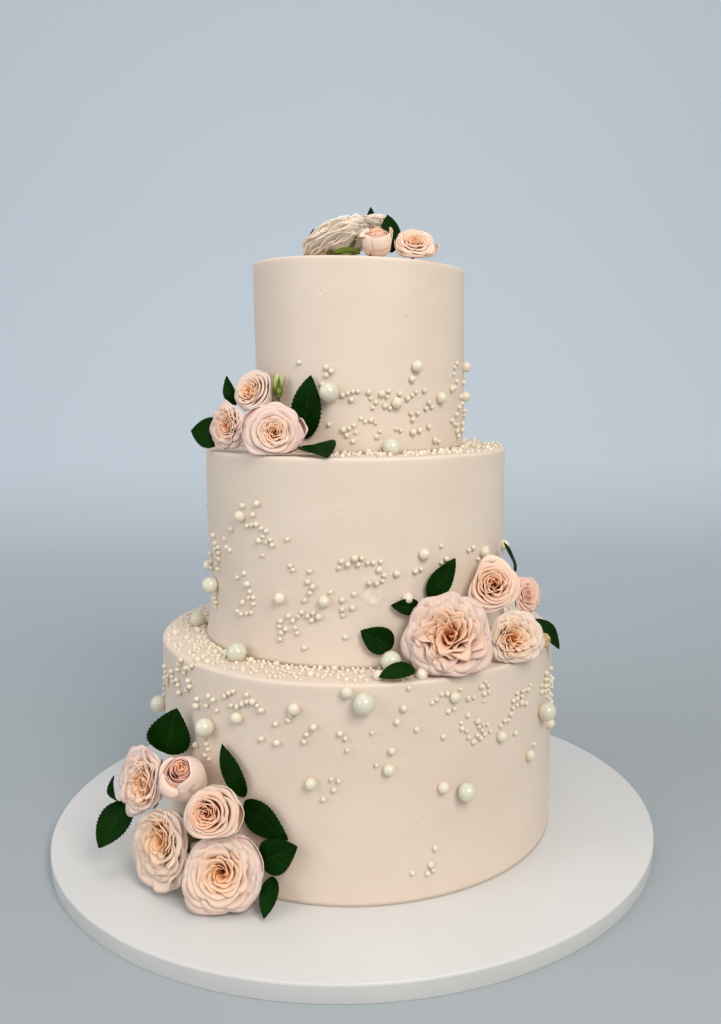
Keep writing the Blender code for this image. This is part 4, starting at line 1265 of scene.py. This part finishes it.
def free_leaf(name, base, tip, azimuth, elevation, width, arch=3.0, fold=2.0, turned_over=False):
    """A leaf between two points whose upper face looks this way."""
    start = Vector(base) * MM
    end = Vector(tip) * MM
    along = end - start
    turn = math.radians(azimuth)
    lift = math.radians(elevation)
    facing = Vector((math.sin(turn) * math.cos(lift), -math.cos(turn) * math.cos(lift), math.sin(lift)))
    side = along.cross(facing).normalized()
    facing = side.cross(along).normalized()

    def at(share, across, half):
        point = start + along * share
        point += side * across * 0.5 * width * MM * half
        lift_up = arch * math.sin(math.pi * share) + 0.5 * math.sin(8.0 * share + across)
        return point + facing * (lift_up + fold * abs(across) * half + quilting(share, across)) * MM
    leaf(name, at, facing, turned_over)


# Wall leaves: tier, base, tip and width; free leaves: base, tip, azimuth and elevation of the way the upper
# face looks, and width; some then have an arch and a fold of their own
free_leaf("leaf_low_top", (-126, -94, 93), (-117, -99, 126), 0, 10, 29)
wall_leaf("leaf_low_upper", BOTTOM, (-30, 66, 2.0), (-36.5, 98, 3.0), 17)
wall_leaf("leaf_low_middle", BOTTOM, (-30, 63, 2.0), (-18, 43, 2.5), 22)
free_leaf("leaf_low_right", (-60, -142, 40), (-36, -150, 54), -15, 15, 23, 1.5, 1.0)
free_leaf("leaf_low_foot", (-52, -144, 31), (-56, -164, 15), -10, 45, 12, 0.5, 0.5)
free_leaf("leaf_low_left", (-154, -89, 57), (-169, -108, 34), -30, 25, 27, 1.0, 1.0)
free_leaf("leaf_low_far_left", (-160, -87, 56), (-162, -89, 76), -50, 10, 10)

wall_leaf("leaf_ledge_upper", MIDDLE, (24, 44, 2.5), (34.8, 67, 3.0), 17)
wall_leaf("leaf_ledge_left", MIDDLE, (21, 38, 2.5), (11, 40.5, 3.0), 11)
wall_leaf("leaf_ledge_far_left", MIDDLE, (11.5, 14, 3.0), (1, 25, 4.0), 18)
free_leaf("leaf_ledge_rim", (37, -139, 162.5), (15, -144, 159.5), 0, 62, 14, 2.0, 1.0)
free_leaf("leaf_ledge_back", (110.5, -66, 208), (103, -61, 228), 72, 10, 12, 1.5, 1.0)
free_leaf("leaf_ledge_right", (128, -55, 172), (141.5, -70, 154), 40, 20, 17, 1.0, 1.0)

wall_leaf("leaf_middle_large", TOP, (-29.5, 9, 1.6), (-24.5, 51, 3.0), 22)
free_leaf("leaf_middle_rim", (-27.5, -84, 297), (-16, -113, 291.5), 12, 38, 24, 3.0, 1.0)
free_leaf("leaf_middle_left", (-90, -43, 300), (-112, -42, 304.5), -15, 25, 23)
free_leaf("leaf_middle_back", (-81, -41, 322), (-87, -39, 342), -20, 10, 9)

free_leaf("leaf_top_left", (-25, -12, 430), (-27, -17, 444), -20, 20, 9)
free_leaf("leaf_top_back", (13, -12, 446), (13, -13, 459.5), 0, 10, 6)
free_leaf("leaf_top_upright", (27, -43, 425), (24, -39, 450), 0, 5, 14.5, 3.5, 1.0)
free_leaf("leaf_top_front", (5, -68, 421), (-13, -70, 420.5), 0, 50, 7, 2.0, 1.0, turned_over=True)


# Studio
# A floor that sweeps up into the backdrop, darker grey at the front and paler and bluer higher up, a large
# soft light high at the front right, weaker ones from the left and from above, and the camera a little
# higher than the middle tier.
def backdrop():
    material, nodes, links, shader = new_material("pale_backdrop", 0.75)
    place = nodes.new("ShaderNodeTexCoord").outputs["Object"]
    parts = nodes.new("ShaderNodeSeparateXYZ")
    links.new(place, parts.inputs["Vector"])
    away = maths(nodes, links, "ADD", parts.outputs["Y"], parts.outputs["Z"])
    colour = ramp(nodes, links, maths(nodes, links, "MULTIPLY", away, 0.5), [
        (0.05, (0.37, 0.40, 0.41)), (0.50, (0.56, 0.60, 0.63)), (0.85, (0.74, 0.80, 0.85))])
    links.new(colour, shader.inputs["Base Color"])
    relief(nodes, links, shader, grain(nodes, links, place, 2.0, 2.0), 0.2 * MM)
    return material


SWEEP_RADIUS = 0.8
SWEEP_STEPS = 12
SWEEP_FRONT = -3.0
SWEEP_BACK = 1.1
SWEEP_TOP = 2.6
SWEEP_HALF_WIDTH = 3.0
sweep = bmesh.new()
profile = [(SWEEP_FRONT, 0.0)]
for step in range(SWEEP_STEPS + 1):
    turn = 0.5 * math.pi * step / SWEEP_STEPS
    profile.append((SWEEP_BACK + SWEEP_RADIUS * math.sin(turn), SWEEP_RADIUS * (1.0 - math.cos(turn))))
profile.append((SWEEP_BACK + SWEEP_RADIUS, SWEEP_TOP))
corners = [sweep.verts.new((-SWEEP_HALF_WIDTH, y, z)) for y, z in profile]
edges = [sweep.edges.new(pair) for pair in zip(corners, corners[1:])]
drawn = bmesh.ops.extrude_edge_only(sweep, edges=edges)["geom"]
moved = [part for part in drawn if isinstance(part, bmesh.types.BMVert)]
bmesh.ops.translate(sweep, verts=moved, vec=(2.0 * SWEEP_HALF_WIDTH, 0.0, 0.0))
bmesh.ops.recalc_face_normals(sweep, faces=sweep.faces[:])
floor = into_scene("floor_and_backdrop", into_mesh("floor_and_backdrop", sweep))
floor.data.shade_smooth()
floor.data.materials.append(backdrop())


def soft_light(name, place, aim, size, power, colour):
    light = bpy.data.lights.new(name, "AREA")
    light.shape = "DISK"
    light.size = size
    light.energy = power
    light.color = colour
    lamp = into_scene(name, light)
    lamp.location = place
    lamp.rotation_euler = (Vector(aim) - Vector(place)).to_track_quat("-Z", "Y").to_euler()


soft_light("key_light", (0.62, -1.35, 1.25), (0.0, 0.0, 0.22), 0.9, 20.5, (1.0, 0.97, 0.91))
soft_light("fill_light", (-1.5, -0.9, 0.9), (0.0, 0.0, 0.22), 1.2, 9.3, (0.97, 0.98, 1.0))
soft_light("top_light", (-0.15, -0.15, 1.8), (0.0, 0.0, 0.3), 1.0, 4.2, (1.0, 0.98, 0.94))

world = bpy.data.worlds.new("studio")
world.use_nodes = True
surroundings = world.node_tree.nodes["Background"]
surroundings.inputs["Color"].default_value = (0.87, 0.92, 1.0, 1.0)
surroundings.inputs["Strength"].default_value = 0.52
bpy.context.scene.world = world
bpy.context.scene.view_settings.view_transform = "Standard"

CAMERA_PLACE = (2.9 * MM, -701.5 * MM, 340.8 * MM)
CAMERA_YAW = 0.0445
CAMERA_PITCH = -0.141
FRAME_LONG_SIDE = 1024.0
FOCAL_PIXELS = 945.1
AXIS_PIXEL = 400.0
FRAME_MIDDLE = 360.5
SENSOR = 36.0
camera = bpy.data.cameras.new("camera")
camera.sensor_width = SENSOR
camera.lens = SENSOR * FOCAL_PIXELS / FRAME_LONG_SIDE
camera.shift_x = -(AXIS_PIXEL - FRAME_MIDDLE) / FRAME_LONG_SIDE
camera.clip_start = 0.05
camera.clip_end = 20.0
eye = into_scene("camera", camera)
eye.location = CAMERA_PLACE
eye.rotation_euler = (0.5 * math.pi + CAMERA_PITCH, 0.0, -CAMERA_YAW)
bpy.context.scene.camera = eye
